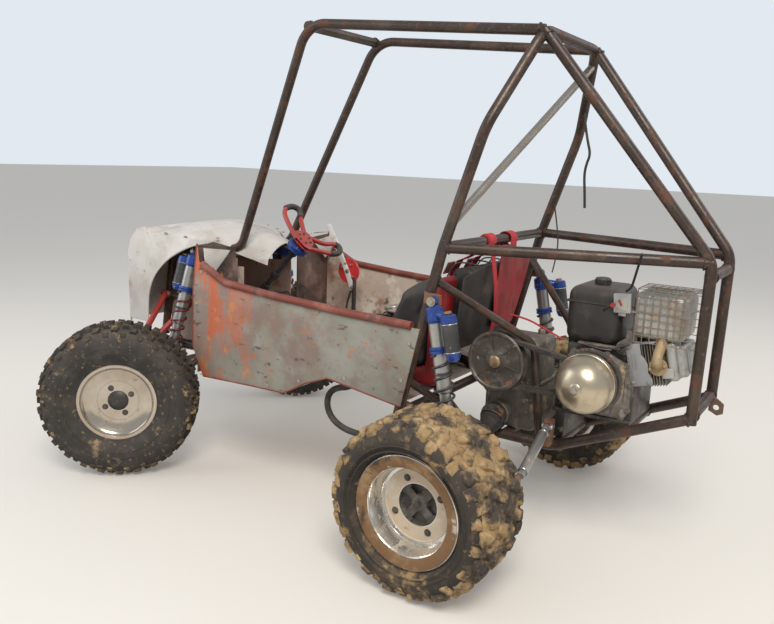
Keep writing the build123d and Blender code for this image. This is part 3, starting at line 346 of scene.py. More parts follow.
@dataclass(frozen=True)
class Finish:
    """A surface: base colour, patches over it, fine texture, dust on top and mud from below."""

    name: str
    base: Colour
    roughness: float
    metallic: float = 0.0
    patches: tuple[Patch, ...] = ()
    texture: Texture = Texture.CAST
    grain: float = 300.0
    depth: float = 0.15
    dust: float = 0.25
    mud_top: float = -1.0
    coat: float = 0.0
    dust_colour: Colour = (0.52, 0.40, 0.28)
    mud_colour: Colour = (0.44, 0.32, 0.20)

    def grain_height(self, tree: Tree, spot: Socket) -> Socket:
        """Nodes for the fine texture.

        Args:
            tree: The material's tree.
            spot: Object coordinates.

        Returns:
            The socket of its height, 0 to 1.
        """
        scaled = wired(tree, "Mapping", {"Vector": spot})
        vector = scaled.outputs["Vector"]
        if self.texture is Texture.LEATHER:
            cells = wired(tree, "TexVoronoi", {"Scale": self.grain, "Vector": vector}, feature="SMOOTH_F1")
            return Groups.sums(tree, "MULTIPLY", cells.outputs["Distance"], -1.0)
        if self.texture is Texture.WEAVE:
            threads = [wired(tree, "TexWave", {"Scale": self.grain, "Vector": vector},
                             bands_direction=direction)
                       for direction in ("X", "Z")]
            return Groups.sums(tree, "MULTIPLY", *(thread.outputs["Fac"] for thread in threads))
        if self.texture is Texture.BRUSHED:
            scaled.inputs["Scale"].default_value = (0.12, 0.12, 3.0)
        return wired(tree, "TexNoise", {"Scale": self.grain, "Detail": 4, "Vector": vector}).outputs["Fac"]

    def over(self, tree: Tree, state: dict[str, Socket], mask: Socket, colour: Colour, roughness: float,
             metallic: float, lift: float) -> None:
        """Lay a colour over what is there so far, where the mask says, and keep the new sockets in state."""
        for label, kind, value in (("colour", "RGBA", (*colour, 1)), ("roughness", "FLOAT", roughness),
                                   ("metallic", "FLOAT", metallic)):
            mix = wired(tree, "Mix", {"B": value, "Factor": mask, "A": state[label]}, data_type=kind)
            state[label] = mix.outputs["Result"]
        if lift:
            state["height"] = Groups.sums(tree, "MULTIPLY_ADD", mask, lift, state["height"])

    def faded(self, tree: Tree, spot: Socket, mask: Socket, reach: tuple[float, float]) -> Socket:
        """Let a patch grow towards the nose.

        Args:
            tree: The material's tree.
            spot: Object coordinates.
            mask: The patch's mask.
            reach: Places along x, in metres, where it starts and is full.

        Returns:
            The new mask.
        """
        parts = wired(tree, "SeparateXYZ", {"Vector": spot})
        grow = wired(tree, "MapRange", {"Value": parts.outputs["X"], "From Min": reach[0],
                                        "From Max": reach[1]},
                     interpolation_type="SMOOTHSTEP")
        return Groups.sums(tree, "MULTIPLY", mask, grow.outputs["Result"])

    def build(self) -> bpy.types.Material:
        """Make the material once.

        Returns:
            The material of this finish.
        """
        name = f"{self.name}_look"
        made = bpy.data.materials.get(name)
        if made:
            return made
        material = bpy.data.materials.new(name)
        material.use_nodes = True
        tree = material.node_tree
        shader = tree.nodes["Principled BSDF"]
        spot = wired(tree, "TexCoord").outputs["Object"]
        tone = wired(tree, "TexNoise", {"Scale": 14, "Detail": 5, "Vector": spot}).outputs["Fac"]
        shade = wired(tree, "Mix", {"A": (*[c * 0.8 for c in self.base], 1),
                                    "B": (*[min(1.0, c * 1.18) for c in self.base], 1), "Factor": tone},
                      data_type="RGBA")
        height = Groups.sums(tree, "MULTIPLY", self.grain_height(tree, spot), self.depth)
        rough = Groups.sums(tree, "MULTIPLY_ADD", tone, 0.16, self.roughness - 0.08)
        metal = Groups.sums(tree, "MULTIPLY_ADD", tone, 0.02, max(0.0, self.metallic - 0.02))
        state = {"colour": shade.outputs["Result"], "roughness": rough, "metallic": metal, "height": height}
        for number, patch in enumerate(self.patches):
            scaled = wired(tree, "Mapping", {"Scale": patch.stretch, "Vector": spot})
            cut = wired(tree, "Group", node_tree=Groups.patches())
            tree.links.new(scaled.outputs["Vector"], cut.inputs["Vector"])
            for label, value in (("Scale", patch.scale), ("Cover", patch.cover), ("Soft", patch.soft),
                                 ("Seed", 3.1 * number + len(self.name))):
                cut.inputs[label].default_value = value
            mask = Groups.sums(tree, "MULTIPLY", cut.outputs["Mask"], patch.weight)
            if patch.fade:
                mask = self.faded(tree, spot, mask, patch.fade)
            self.over(tree, state, mask, patch.colour, patch.roughness, patch.metallic, patch.lift)
        if self.dust or self.mud_top > -0.5:
            lies = wired(tree, "Group", node_tree=Groups.settled())
            lies.inputs["Dust"].default_value = 0.45 * self.dust
            lies.inputs["Mud Top"].default_value = self.mud_top
            if self.dust:
                self.over(tree, state, lies.outputs["Dust"], self.dust_colour, 0.95, 0.0, 0.0)
            if self.mud_top > -0.5:
                self.over(tree, state, lies.outputs["Mud"], self.mud_colour, 0.95, 0.0, 0.35)
        bump = wired(tree, "Bump", {"Strength": 0.6, "Distance": 0.0015, "Height": state["height"]})
        for label, socket in (("Base Color", state["colour"]), ("Roughness", state["roughness"]),
                              ("Metallic", state["metallic"]), ("Normal", bump.outputs["Normal"])):
            tree.links.new(socket, shader.inputs[label])
        shader.inputs["Coat Weight"].default_value = self.coat
        shader.inputs["Coat Roughness"].default_value = 0.2
        return material


RUST: Colour = (0.30, 0.095, 0.035)
ORANGE_RUST: Colour = (0.62, 0.21, 0.085)
OIL: Colour = (0.045, 0.035, 0.030)
BARE: Colour = (0.42, 0.40, 0.38)
TAN: Colour = (0.46, 0.34, 0.22)

CAGE = Finish("cage_steel", (0.046, 0.029, 0.022), 0.38, 0.30, (
    Patch((0.105, 0.078, 0.060), 8, 0.32, 0.12, 0.36, 0.4, stretch=(1, 1, 0.5)),
    Patch((0.105, 0.040, 0.021), 20, 0.32, 0.08, 0.70, 0.05, 0.05),
    Patch(OIL, 12, 0.24, 0.08, 0.26, 0.2),
    Patch((0.115, 0.080, 0.058), 90, 0.20, 0.08, 0.8, 0.0, 0.06)), dust=0.05)
BRIGHT = Finish("bright_steel", (0.40, 0.36, 0.32), 0.30, 0.85, (
    Patch((0.22, 0.16, 0.12), 18, 0.30, 0.10, 0.5, 0.3),
    Patch(RUST, 45, 0.14, 0.05, 0.8, 0.0, 0.04)),
    Texture.BRUSHED, 220, 0.1, dust=0.15)
PRIMER = Finish("grey_primer", (0.270, 0.262, 0.215), 0.72, 0.0, (
    Patch((0.335, 0.320, 0.280), 6, 0.40, 0.14, 0.75),
    Patch((0.235, 0.145, 0.115), 9, 0.40, 0.10, 0.8, weight=0.7),
    Patch((0.300, 0.185, 0.155), 5, 0.46, 0.12, 0.8, fade=(0.20, 0.62), weight=0.9),
    Patch((0.60, 0.115, 0.032), 8, 0.50, 0.06, 0.8, 0.0, -0.08, (1.5, 1, 0.6), 0.9, (0.16, 0.58)),
    Patch((0.50, 0.150, 0.055), 15, 0.20, 0.05, 0.85, 0.0, -0.10, (0.7, 1, 1.7), 0.85),
    Patch((0.66, 0.255, 0.075), 26, 0.24, 0.05, 0.85, 0.0, -0.10, (1, 1, 0.6), 0.8, (-0.1, 0.6)),
    Patch((0.100, 0.050, 0.038), 42, 0.17, 0.04, 0.7, 0.1, -0.15, (0.6, 1, 1.4), 0.8),
    Patch((0.055, 0.036, 0.028), 110, 0.09, 0.02, 0.7, 0.1, -0.2)), grain=240, depth=0.12, dust=0.12)
CREAM = Finish("inside_primer", (0.64, 0.52, 0.42), 0.72, 0.0, (
    Patch((0.36, 0.20, 0.15), 6, 0.36, 0.07, 0.8),
    Patch((0.80, 0.72, 0.62), 8, 0.30, 0.05, 0.8),
    Patch((0.18, 0.10, 0.08), 15, 0.16, 0.06, 0.7),
    Patch(ORANGE_RUST, 30, 0.12, 0.04, 0.85)), dust=0.1)
BONNET_WHITE = Finish("bonnet_white", (0.66, 0.63, 0.58), 0.62, 0.0, (
    Patch((0.52, 0.47, 0.42), 7, 0.34, 0.12, 0.7),
    Patch((0.40, 0.27, 0.20), 11, 0.20, 0.09, 0.75, weight=0.8),
    Patch(ORANGE_RUST, 30, 0.11, 0.03, 0.85, 0.0, -0.08),
    Patch((0.25, 0.20, 0.17), 55, 0.10, 0.03, 0.7)),
    grain=200, depth=0.08, dust=0.15)
FOOTBOX = Finish("foot_box_pink", (0.50, 0.37, 0.31), 0.78, 0.0, (
    Patch((0.62, 0.52, 0.45), 8, 0.32, 0.09, 0.8),
    Patch((0.30, 0.19, 0.15), 14, 0.24, 0.07, 0.8),
    Patch(ORANGE_RUST, 26, 0.16, 0.04, 0.85)), dust=0.25, mud_top=0.40)
RIM_RED = Finish("rolled_rim_red", (0.20, 0.040, 0.025), 0.5, 0.05, (
    Patch((0.30, 0.105, 0.075), 12, 0.34, 0.10, 0.6),
    Patch((0.10, 0.042, 0.033), 24, 0.26, 0.07, 0.55),
    Patch((0.42, 0.30, 0.25), 40, 0.07, 0.03, 0.6, 0.2)), dust=0.12)
RED = Finish("red_paint", (0.42, 0.018, 0.022), 0.32, 0.0, (
    Patch((0.30, 0.03, 0.022), 20, 0.30, 0.10, 0.45),
    Patch((0.42, 0.27, 0.20), 32, 0.09, 0.04, 0.8),
    Patch((0.12, 0.05, 0.035), 70, 0.09, 0.02, 0.7, 0.2, -0.1)), coat=0.25, dust=0.25)
BRIGHT_RED = Finish("bright_red", (0.62, 0.03, 0.035), 0.38, 0.0, (
    Patch((0.42, 0.03, 0.03), 30, 0.25, 0.10, 0.5),), coat=0.2, dust=0.12)
BLACK = Finish("black_satin", (0.022, 0.022, 0.024), 0.42, 0.1, (
    Patch((0.09, 0.08, 0.07), 26, 0.24, 0.10, 0.6),
    Patch((0.30, 0.24, 0.18), 60, 0.10, 0.04, 0.85)), dust=0.25)
RUBBER = Finish("black_rubber", (0.020, 0.020, 0.020), 0.66, 0.0, (
    Patch((0.075, 0.065, 0.055), 34, 0.30, 0.12, 0.85),), dust=0.3)
SHOCK_BLUE = Finish("anodised_blue", (0.010, 0.055, 0.28), 0.28, 0.25, (
    Patch((0.02, 0.04, 0.13), 30, 0.24, 0.09, 0.4, 0.5),
    Patch(TAN, 55, 0.10, 0.04, 0.9)), coat=0.3, dust=0.12)
SILVER = Finish("satin_silver", (0.46, 0.45, 0.43), 0.30, 0.85, (
    Patch((0.36, 0.33, 0.29), 22, 0.26, 0.10, 0.5, 0.5),
    Patch(TAN, 60, 0.09, 0.04, 0.9)), Texture.BRUSHED, 260, 0.06,
    dust=0.15)
CAST = Finish("cast_casing", (0.20, 0.175, 0.150), 0.50, 0.55, (
    Patch((0.40, 0.37, 0.33), 16, 0.30, 0.10, 0.5, 0.6),
    Patch(OIL, 12, 0.34, 0.10, 0.38, 0.1),
    Patch(TAN, 26, 0.20, 0.07, 0.95)), grain=420, depth=0.3, dust=0.3)
DARK_CAST = Finish("dark_casting", (0.060, 0.056, 0.052), 0.5, 0.4, (
    Patch((0.20, 0.18, 0.16), 24, 0.28, 0.10, 0.6, 0.3),
    Patch(OIL, 12, 0.30, 0.10, 0.3),
    Patch(TAN, 34, 0.16, 0.06, 0.95)), grain=420, depth=0.25, dust=0.3)
SHROUD_GREY = Finish("shroud_grey", (0.30, 0.30, 0.30), 0.5, 0.2, (
    Patch((0.42, 0.42, 0.41), 18, 0.28, 0.10, 0.5),
    Patch((0.12, 0.11, 0.10), 20, 0.24, 0.08, 0.5)), dust=0.25)
COVER_GREY = Finish("head_cover_grey", (0.50, 0.49, 0.46), 0.42, 0.6, (
    Patch((0.30, 0.27, 0.23), 26, 0.24, 0.09, 0.6, 0.3),), grain=380, depth=0.2, dust=0.2)
TANK_BLACK = Finish("tank_black", (0.018, 0.018, 0.019), 0.38, 0.0, (
    Patch((0.06, 0.055, 0.05), 18, 0.30, 0.12, 0.55),), grain=500, depth=0.2, dust=0.3)
CHAMPAGNE = Finish("champagne_dome", (0.60, 0.51, 0.37), 0.30, 0.92, (
    Patch((0.42, 0.35, 0.26), 26, 0.22, 0.10, 0.4, 0.7),
    Patch((0.13, 0.10, 0.08), 60, 0.08, 0.03, 0.6, 0.3)),
    Texture.BRUSHED, 160, 0.05, dust=0.10)
SHEAVE = Finish("dark_sheave", (0.10, 0.088, 0.078), 0.42, 0.6, (
    Patch((0.24, 0.21, 0.18), 24, 0.30, 0.10, 0.45, 0.6),
    Patch(RUST, 36, 0.18, 0.06, 0.8),
    Patch(TAN, 50, 0.12, 0.05, 0.95)), grain=300, depth=0.2, dust=0.25)
POLISHED = Finish("polished_rim", (0.70, 0.68, 0.64), 0.17, 0.96, (
    Patch((0.46, 0.38, 0.29), 20, 0.30, 0.10, 0.5, 0.4, 0.03),
    Patch(TAN, 34, 0.16, 0.06, 0.95, 0.0, 0.08)),
    Texture.BRUSHED, 180, 0.04, dust=0.15)
TAN_DISC = Finish("muddy_disc", (0.60, 0.49, 0.36), 0.70, 0.15, (
    Patch((0.72, 0.64, 0.53), 12, 0.30, 0.09, 0.55, 0.4),
    Patch((0.30, 0.20, 0.11), 34, 0.14, 0.05, 0.9, 0.0, 0.15),
    Patch((0.12, 0.08, 0.05), 80, 0.07, 0.02, 0.9)), dust=0.15)
RUSTY_LIP = Finish("rusty_lip", (0.20, 0.105, 0.045), 0.80, 0.1, (
    Patch((0.34, 0.215, 0.11), 12, 0.34, 0.09, 0.85, 0.0, 0.2),
    Patch((0.06, 0.04, 0.028), 26, 0.22, 0.06, 0.85),
    Patch((0.55, 0.50, 0.44), 18, 0.14, 0.04, 0.3, 0.8, -0.1)), grain=260, depth=0.4, dust=0.15)
MUDDY_TYRE = Finish("muddy_tyre", (0.024, 0.019, 0.015), 0.78, 0.0, (
    Patch((0.33, 0.215, 0.100), 12, 0.24, 0.05, 0.95, 0.0, 0.3),
    Patch((0.10, 0.068, 0.040), 24, 0.26, 0.07, 0.95, 0.0, 0.2),
    Patch((0.030, 0.024, 0.020), 30, 0.26, 0.06, 0.60, 0.0, -0.15),
    Patch((0.20, 0.135, 0.072), 70, 0.16, 0.05, 0.95, 0.0, 0.1)),
    grain=300, depth=0.5, dust=0.2, mud_top=0.05)
DISH = Finish("dusty_dish", (0.56, 0.50, 0.42), 0.14, 0.95, (
    Patch((0.34, 0.25, 0.16), 5, 0.34, 0.22, 0.40, 0.6, 0.04, weight=0.7),
    Patch((0.24, 0.17, 0.10), 34, 0.12, 0.04, 0.9, 0.0, 0.1)), Texture.BRUSHED, 180, 0.03, dust=0.05)
TYRE = Finish("dusty_tyre", (0.026, 0.024, 0.022), 0.70, 0.0, (
    Patch((0.070, 0.060, 0.050), 16, 0.34, 0.12, 0.85),
    Patch((0.36, 0.25, 0.14), 17, 0.20, 0.05, 0.95, 0.0, 0.15),
    Patch((0.20, 0.145, 0.09), 60, 0.22, 0.05, 0.95, 0.0, 0.1)), grain=420, depth=0.2, dust=0.2,
              mud_top=0.02)
VINYL = Finish("black_vinyl", (0.014, 0.014, 0.015), 0.52, 0.0, (
    Patch((0.055, 0.05, 0.046), 12, 0.26, 0.12, 0.75),), Texture.LEATHER, 420, 0.25, dust=0.22)
RED_VINYL = Finish("red_vinyl", (0.33, 0.012, 0.018), 0.48, 0.0, (
    Patch((0.17, 0.012, 0.014), 10, 0.30, 0.12, 0.6),
    Patch((0.36, 0.10, 0.08), 40, 0.12, 0.06, 0.85)),
    Texture.LEATHER, 420, 0.25, dust=0.12)
WEBBING = Finish("red_webbing", (0.56, 0.028, 0.045), 0.72, 0.0, (
    Patch((0.40, 0.03, 0.04), 18, 0.28, 0.10, 0.8),), Texture.WEAVE, 190, 0.6, dust=0.12)
BLACK_WEBBING = Finish("black_webbing", (0.020, 0.020, 0.021), 0.75, 0.0, (
    Patch((0.06, 0.055, 0.05), 24, 0.3, 0.1, 0.85),), Texture.WEAVE, 190, 0.6, dust=0.2)
WHITE_PLASTIC = Finish("white_lever", (0.74, 0.72, 0.68), 0.45, 0.0, (
    Patch((0.52, 0.46, 0.39), 40, 0.22, 0.08, 0.7),), dust=0.15)
BROWN_STEEL = Finish("brown_brace", (0.20, 0.105, 0.060), 0.62, 0.15, (
    Patch(RUST, 18, 0.40, 0.10, 0.8),
    Patch((0.34, 0.24, 0.18), 26, 0.24, 0.08, 0.5, 0.3),
    Patch(OIL, 22, 0.16, 0.06, 0.4)), dust=0.3)
BOLT = Finish("zinc_bolt", (0.46, 0.43, 0.38), 0.36, 0.9, (
    Patch((0.30, 0.20, 0.12), 60, 0.30, 0.10, 0.7, 0.2),), dust=0.15)
TOW_RED = Finish("worn_red_plate", (0.13, 0.075, 0.055), 0.5, 0.2, (
    Patch((0.26, 0.045, 0.035), 30, 0.24, 0.08, 0.6),
    Patch(BARE, 44, 0.14, 0.04, 0.4, 0.7)), dust=0.2)
# Painted shadow: near-black colour for the discs that stand in for the shade inside open tube ends.
TUBE_MOUTH_SHADOW = Finish("deep_shadow", (0.012, 0.010, 0.009), 0.9, 0.0, (
    Patch((0.05, 0.04, 0.03), 20, 0.3, 0.1, 0.95),), dust=0.1)
# Painted shade: the dark base and its darker blotches stand in for the bonnet's shadow on the bulkhead's rear
# face; the pink patches and the rust are the sheet's own colour.
BULKHEAD_PAINTED_SHADE = Finish("shaded_bulkhead", (0.135, 0.085, 0.068), 0.75, 0.0, (
    Patch((0.30, 0.20, 0.165), 7, 0.34, 0.09, 0.8),
    Patch((0.05, 0.035, 0.03), 12, 0.32, 0.08, 0.7),
    Patch(ORANGE_RUST, 24, 0.10, 0.04, 0.85)), dust=0.15)
SHELL = Finish("seat_shell", (0.030, 0.027, 0.025), 0.62, 0.0, (
    Patch((0.16, 0.125, 0.105), 6, 0.30, 0.10, 0.8),
    Patch((0.06, 0.05, 0.045), 22, 0.3, 0.1, 0.75)), dust=0.2)
TREAD_MUD = Finish("tread_mud", (0.36, 0.235, 0.110), 0.95, 0.0, (
    Patch((0.52, 0.365, 0.185), 16, 0.38, 0.10, 0.95, 0.0, 0.2),
    Patch((0.045, 0.034, 0.026), 12, 0.46, 0.06, 0.75, 0.0, -0.25),
    Patch((0.20, 0.135, 0.07), 60, 0.30, 0.08, 0.95)), grain=260, depth=0.6, dust=0.1)
CRIMSON = Finish("crimson_spring", (0.16, 0.008, 0.014), 0.35, 0.2, (
    Patch((0.07, 0.01, 0.012), 30, 0.3, 0.1, 0.5),
    Patch(TAN, 60, 0.08, 0.04, 0.9)), coat=0.2, dust=0.15)


# Shapes: each function works on a bmesh with bmesh operators


def edges_of(verts: Iterable[bmesh.types.BMVert]) -> list[bmesh.types.BMEdge]:
    """Edges at some vertices, each once and in a fixed order, so that every run makes the same mesh."""
    return list(dict.fromkeys(edge for vert in verts for edge in vert.link_edges))


def box(bm: Shape, matrix: Matrix, size: Point, bevel: float = 0.0, segments: int = 2) -> None:
    """Add a box with rounded edges.

    Args:
        bm: Mesh to add to.
        matrix: Frame of the box's middle.
        size: Its three sides in millimetres.
        bevel: Radius of its edges in millimetres.
        segments: Faces across each rounded edge.
    """
    made = bmesh.ops.create_cube(bm, size=1.0)["verts"]
    bmesh.ops.scale(bm, vec=Vector(size) * MM, verts=made)
    if bevel:
        edges = edges_of(made)
        made = bmesh.ops.bevel(bm, geom=edges, offset=bevel * MM, segments=segments, profile=0.5,
                               affect="EDGES", material=-1)["verts"]
        made = list(dict.fromkeys(v for v in made if v.is_valid))
    bmesh.ops.transform(bm, matrix=matrix, verts=made)


def toothed(bm: Shape, axis: Matrix, count: int, spot: Point, size: Point, bevel: float, start: float = 0.0,
          sweep: float = TURN) -> None:
    """Add equal blocks round an axis.

    Args:
        bm: Mesh to add to.
        axis: Frame whose z they stand round.
        count: How many.
        spot: Place of the first in that frame, in millimetres.
        size: Length outwards, width and height of each.
        bevel: Width of the rounded edges.
        start: Angle of the first.
        sweep: Angle that they take up.
    """
    for number in range(count):
        turn = axis @ Matrix.Rotation(sweep * number / count + start, 4, "Z")
        box(bm, turn @ Matrix.Translation(Vector(spot) * MM), size, bevel, 1)


def drum(bm: Shape, matrix: Matrix, radius: float, low: float, high: float, sides: int = 24,
         top: float | None = None, bevel: float = 0.0) -> None:
    """Add a round or many-sided piece along the frame's z, from low to high, in millimetres.

    Args:
        bm: Mesh to add to.
        matrix: Frame that it stands in.
        radius: Radius at low.
        low: Where it starts along z.
        high: Where it ends.
        sides: Number of its sides.
        top: Radius at high, if another.
        bevel: Radius of its end edges.
    """
    made = bmesh.ops.create_cone(bm, cap_ends=True, segments=sides, radius1=radius * MM,
                                 radius2=(radius if top is None else top) * MM,
                                 depth=(high - low) * MM)["verts"]
    bmesh.ops.translate(bm, vec=(0, 0, (low + high) / 2 * MM), verts=made)
    if bevel:
        rims = list({edge for vert in made for edge in vert.link_edges
                     if abs(edge.verts[0].co.z - edge.verts[1].co.z) < 1e-7})
        made = bmesh.ops.bevel(bm, geom=rims, offset=bevel * MM, segments=2, profile=0.5, affect="EDGES",
                               material=-1)["verts"] + [v for v in made if v.is_valid]
        made = list(dict.fromkeys(made))
    bmesh.ops.transform(bm, matrix=matrix, verts=made)


def spun(bm: Shape, matrix: Matrix, profile: Sequence[tuple[float, float]], steps: int = 48) -> None:
    """Turn a profile round the frame's z.

    Args:
        bm: Mesh to add to.
        matrix: Frame whose z is the axis.
        profile: Points as (along, radius) in millimetres; a radius of 0 closes the end.
        steps: Steps of the full turn.
    """
    verts = [bm.verts.new((max(r, 0.0) * MM, 0, a * MM)) for a, r in profile]
    edges = [bm.edges.new(pair) for pair in zip(verts, verts[1:])]
    before = set(bm.verts) - set(verts)
    bmesh.ops.spin(bm, geom=verts + edges, cent=(0, 0, 0), axis=(0, 0, 1), angle=TURN, steps=steps,
                   use_merge=True, use_duplicate=False)
    made = [v for v in bm.verts if v not in before]
    poles = [v for v in made if v.co.x ** 2 + v.co.y ** 2 < 1e-14]
    bmesh.ops.remove_doubles(bm, verts=poles, dist=1e-7)
    made = [v for v in bm.verts if v not in before]
    bmesh.ops.transform(bm, matrix=matrix, verts=made)


def ring(bm: Shape, matrix: Matrix, radius: float, thick: float, steps: int = 36, sides: int = 10) -> None:
    """Add a round ring of round wire in the frame's xy plane."""
    profile = [(thick * math.sin(TURN * k / sides), radius + thick * math.cos(TURN * k / sides))
               for k in range(sides + 1)]
    spun(bm, matrix, profile, steps)


def coil(bm: Shape, matrix: Matrix, radius: float, thick: float, low: float, high: float,
         turns: float) -> None:
    """Add a coil spring of round wire along the frame's z, with its two ends closed.

    Args:
        bm: Mesh to add to.
        matrix: Frame whose z is the spring's axis.
        radius: Middle radius of the coil.
        thick: Radius of the wire.
        low: Height of the first turn's middle.
        high: Height of the last.
        turns: Number of turns.
    """
    start = Matrix.Translation((radius * MM, 0, low * MM)) @ Matrix.Rotation(math.pi / 2, 4, "X")
    circle = bmesh.ops.create_circle(bm, cap_ends=True, segments=10, radius=thick * MM,
                                     matrix=start)["verts"]
    before = set(bm.verts) - set(circle)
    face = [f for f in circle[0].link_faces]
    steps = int(turns * 20)
    rise = (high - low) * MM / steps
    bmesh.ops.spin(bm, geom=circle + edges_of(circle) + face, cent=(0, 0, 0),
                   axis=(0, 0, 1), dvec=(0, 0, rise), angle=TURN * turns, steps=steps, use_merge=False,
                   use_duplicate=False)
    bmesh.ops.transform(bm, matrix=matrix, verts=[v for v in bm.verts if v not in before])


def plate(bm: Shape, matrix: Matrix, outline: Sequence[tuple[float, float]], thick: float,
          bevel: float = 0.0) -> None:
    """Add a flat plate: outline in the frame's xy, thickness along z on both sides of it, in millimetres."""
    verts = [bm.verts.new((x * MM, y * MM, -thick / 2 * MM)) for x, y in outline]
    face = bm.faces.new(verts)
    grown = bmesh.ops.extrude_face_region(bm, geom=[face])["geom"]
    top = [g for g in grown if isinstance(g, bmesh.types.BMVert)]
    bmesh.ops.translate(bm, vec=(0, 0, thick * MM), verts=top)
    made = verts + top
    if bevel:
        edges = edges_of(made)
        rounded_verts = bmesh.ops.bevel(bm, geom=edges, offset=bevel * MM, segments=2, profile=0.5,
                                        affect="EDGES", material=-1)["verts"]
        made = list(dict.fromkeys([*rounded_verts, *(v for v in made if v.is_valid)]))
    bmesh.ops.transform(bm, matrix=matrix, verts=made)


def tube(bm: Shape, points: Sequence[Vector], radius: float, order: int = 3, sides: int = 3,
         closed: bool = False) -> None:
    """Add a round bar that follows points smoothly.

    Args:
        bm: Mesh to add to.
        points: Control points in the model's frame, in metres.
        radius: Radius in millimetres.
        order: 2 for straight runs, 3 for rounded corners.
        sides: Blender's bevel resolution: the bar gets 4 + 2 times this many sides.
        closed: Whether it ends where it starts.
    """
    curve = bpy.data.curves.new("bar", "CURVE")
    curve.dimensions = "3D"
    spline = curve.splines.new("NURBS" if order > 2 else "POLY")
    spline.points.add(len(points) - 1)
    for target, point in zip(spline.points, points):
        target.co = (*point, 1)
    if order > 2:
        spline.order_u = order
        spline.use_endpoint_u = not closed
        spline.resolution_u = 8
    spline.use_cyclic_u = closed
    curve.bevel_depth = radius * MM
    curve.bevel_resolution = sides
    curve.use_fill_caps = True
    holder = bpy.data.objects.new("bar", curve)
    bpy.context.collection.objects.link(holder)
    mesh = bpy.data.meshes.new_from_object(holder.evaluated_get(bpy.context.evaluated_depsgraph_get()))
    bm.from_mesh(mesh)
    bpy.data.objects.remove(holder)
    bpy.data.meshes.remove(mesh)
    bpy.data.curves.remove(curve)


def bolt(bm: Shape, spot: Vector, along: Vector, size: float = 8.0, head: float = 6.0,
         washer: bool = True) -> None:
    """Add a hexagon bolt head with a washer, seated at a spot and standing out along a direction."""
    matrix = basis(spot, along)
    if washer:
        drum(bm, matrix, size * 1.15, -0.5, 1.5, 20)
    drum(bm, matrix, size, 1.0, head, 6, bevel=0.8)


def finish_piece(name: str, bm: Shape, finish: Finish, body: str = "chassis",
                 replaces: Iterable[str] = (), sharp: float = 32.0) -> Piece:
    """Turn a bmesh into a finished piece that rides on a body.

    Args:
        name: The piece's name.
        bm: Its mesh, in the model's frame. It is freed here.
        finish: What it is made of.
        body: CAD body that it rides on.
        replaces: CAD nodes that it stands for.
        sharp: Edges with a larger angle in degrees stay sharp.

    Returns:
        The object.
    """
    bmesh.ops.remove_doubles(bm, verts=bm.verts, dist=1e-6)
    bmesh.ops.recalc_face_normals(bm, faces=bm.faces)
    limit = math.radians(sharp)
    for face in bm.faces:
        face.smooth = True
    for edge in bm.edges:
        edge.smooth = len(edge.link_faces) == 2 and edge.calc_face_angle(0.0) < limit
    mesh = bpy.data.meshes.new(name)
    bm.to_mesh(mesh)
    bm.free()
    piece = bpy.data.objects.new(name, mesh)
    bpy.context.collection.objects.link(piece)
    mesh.materials.append(finish.build())
    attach(piece, body)
    replaces = list(replaces)
    if replaces:
        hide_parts(*replaces)
    LOG.info("%s: %d faces on %s", name, len(mesh.polygons), body)
    return piece


def dress(node: str, finish: Finish) -> None:
    """Give a CAD node that stays its finish."""
    target = frame["nodes"][node]
    target.data.materials.clear()
    target.data.materials.append(finish.build())


def rounded(piece: Piece, levels: int = 1) -> Piece:
    """Smooth a piece with a subdivision surface of that many levels."""
    modifier = piece.modifiers.new("rounded", "SUBSURF")
    modifier.levels = modifier.render_levels = levels
    return piece


def sheeted(piece: Piece, thick: float, offset: float = 0.0) -> Piece:
    """Give a sheet its thickness: half on each side, or all on the normal's side for offset 1."""
    modifier = piece.modifiers.new("thickness", "SOLIDIFY")
    modifier.thickness = thick * MM
    modifier.offset = offset
    return piece


class Axle(Enum):
    """Which axle a wheel belongs to."""

    FRONT = "front"
    REAR = "rear"


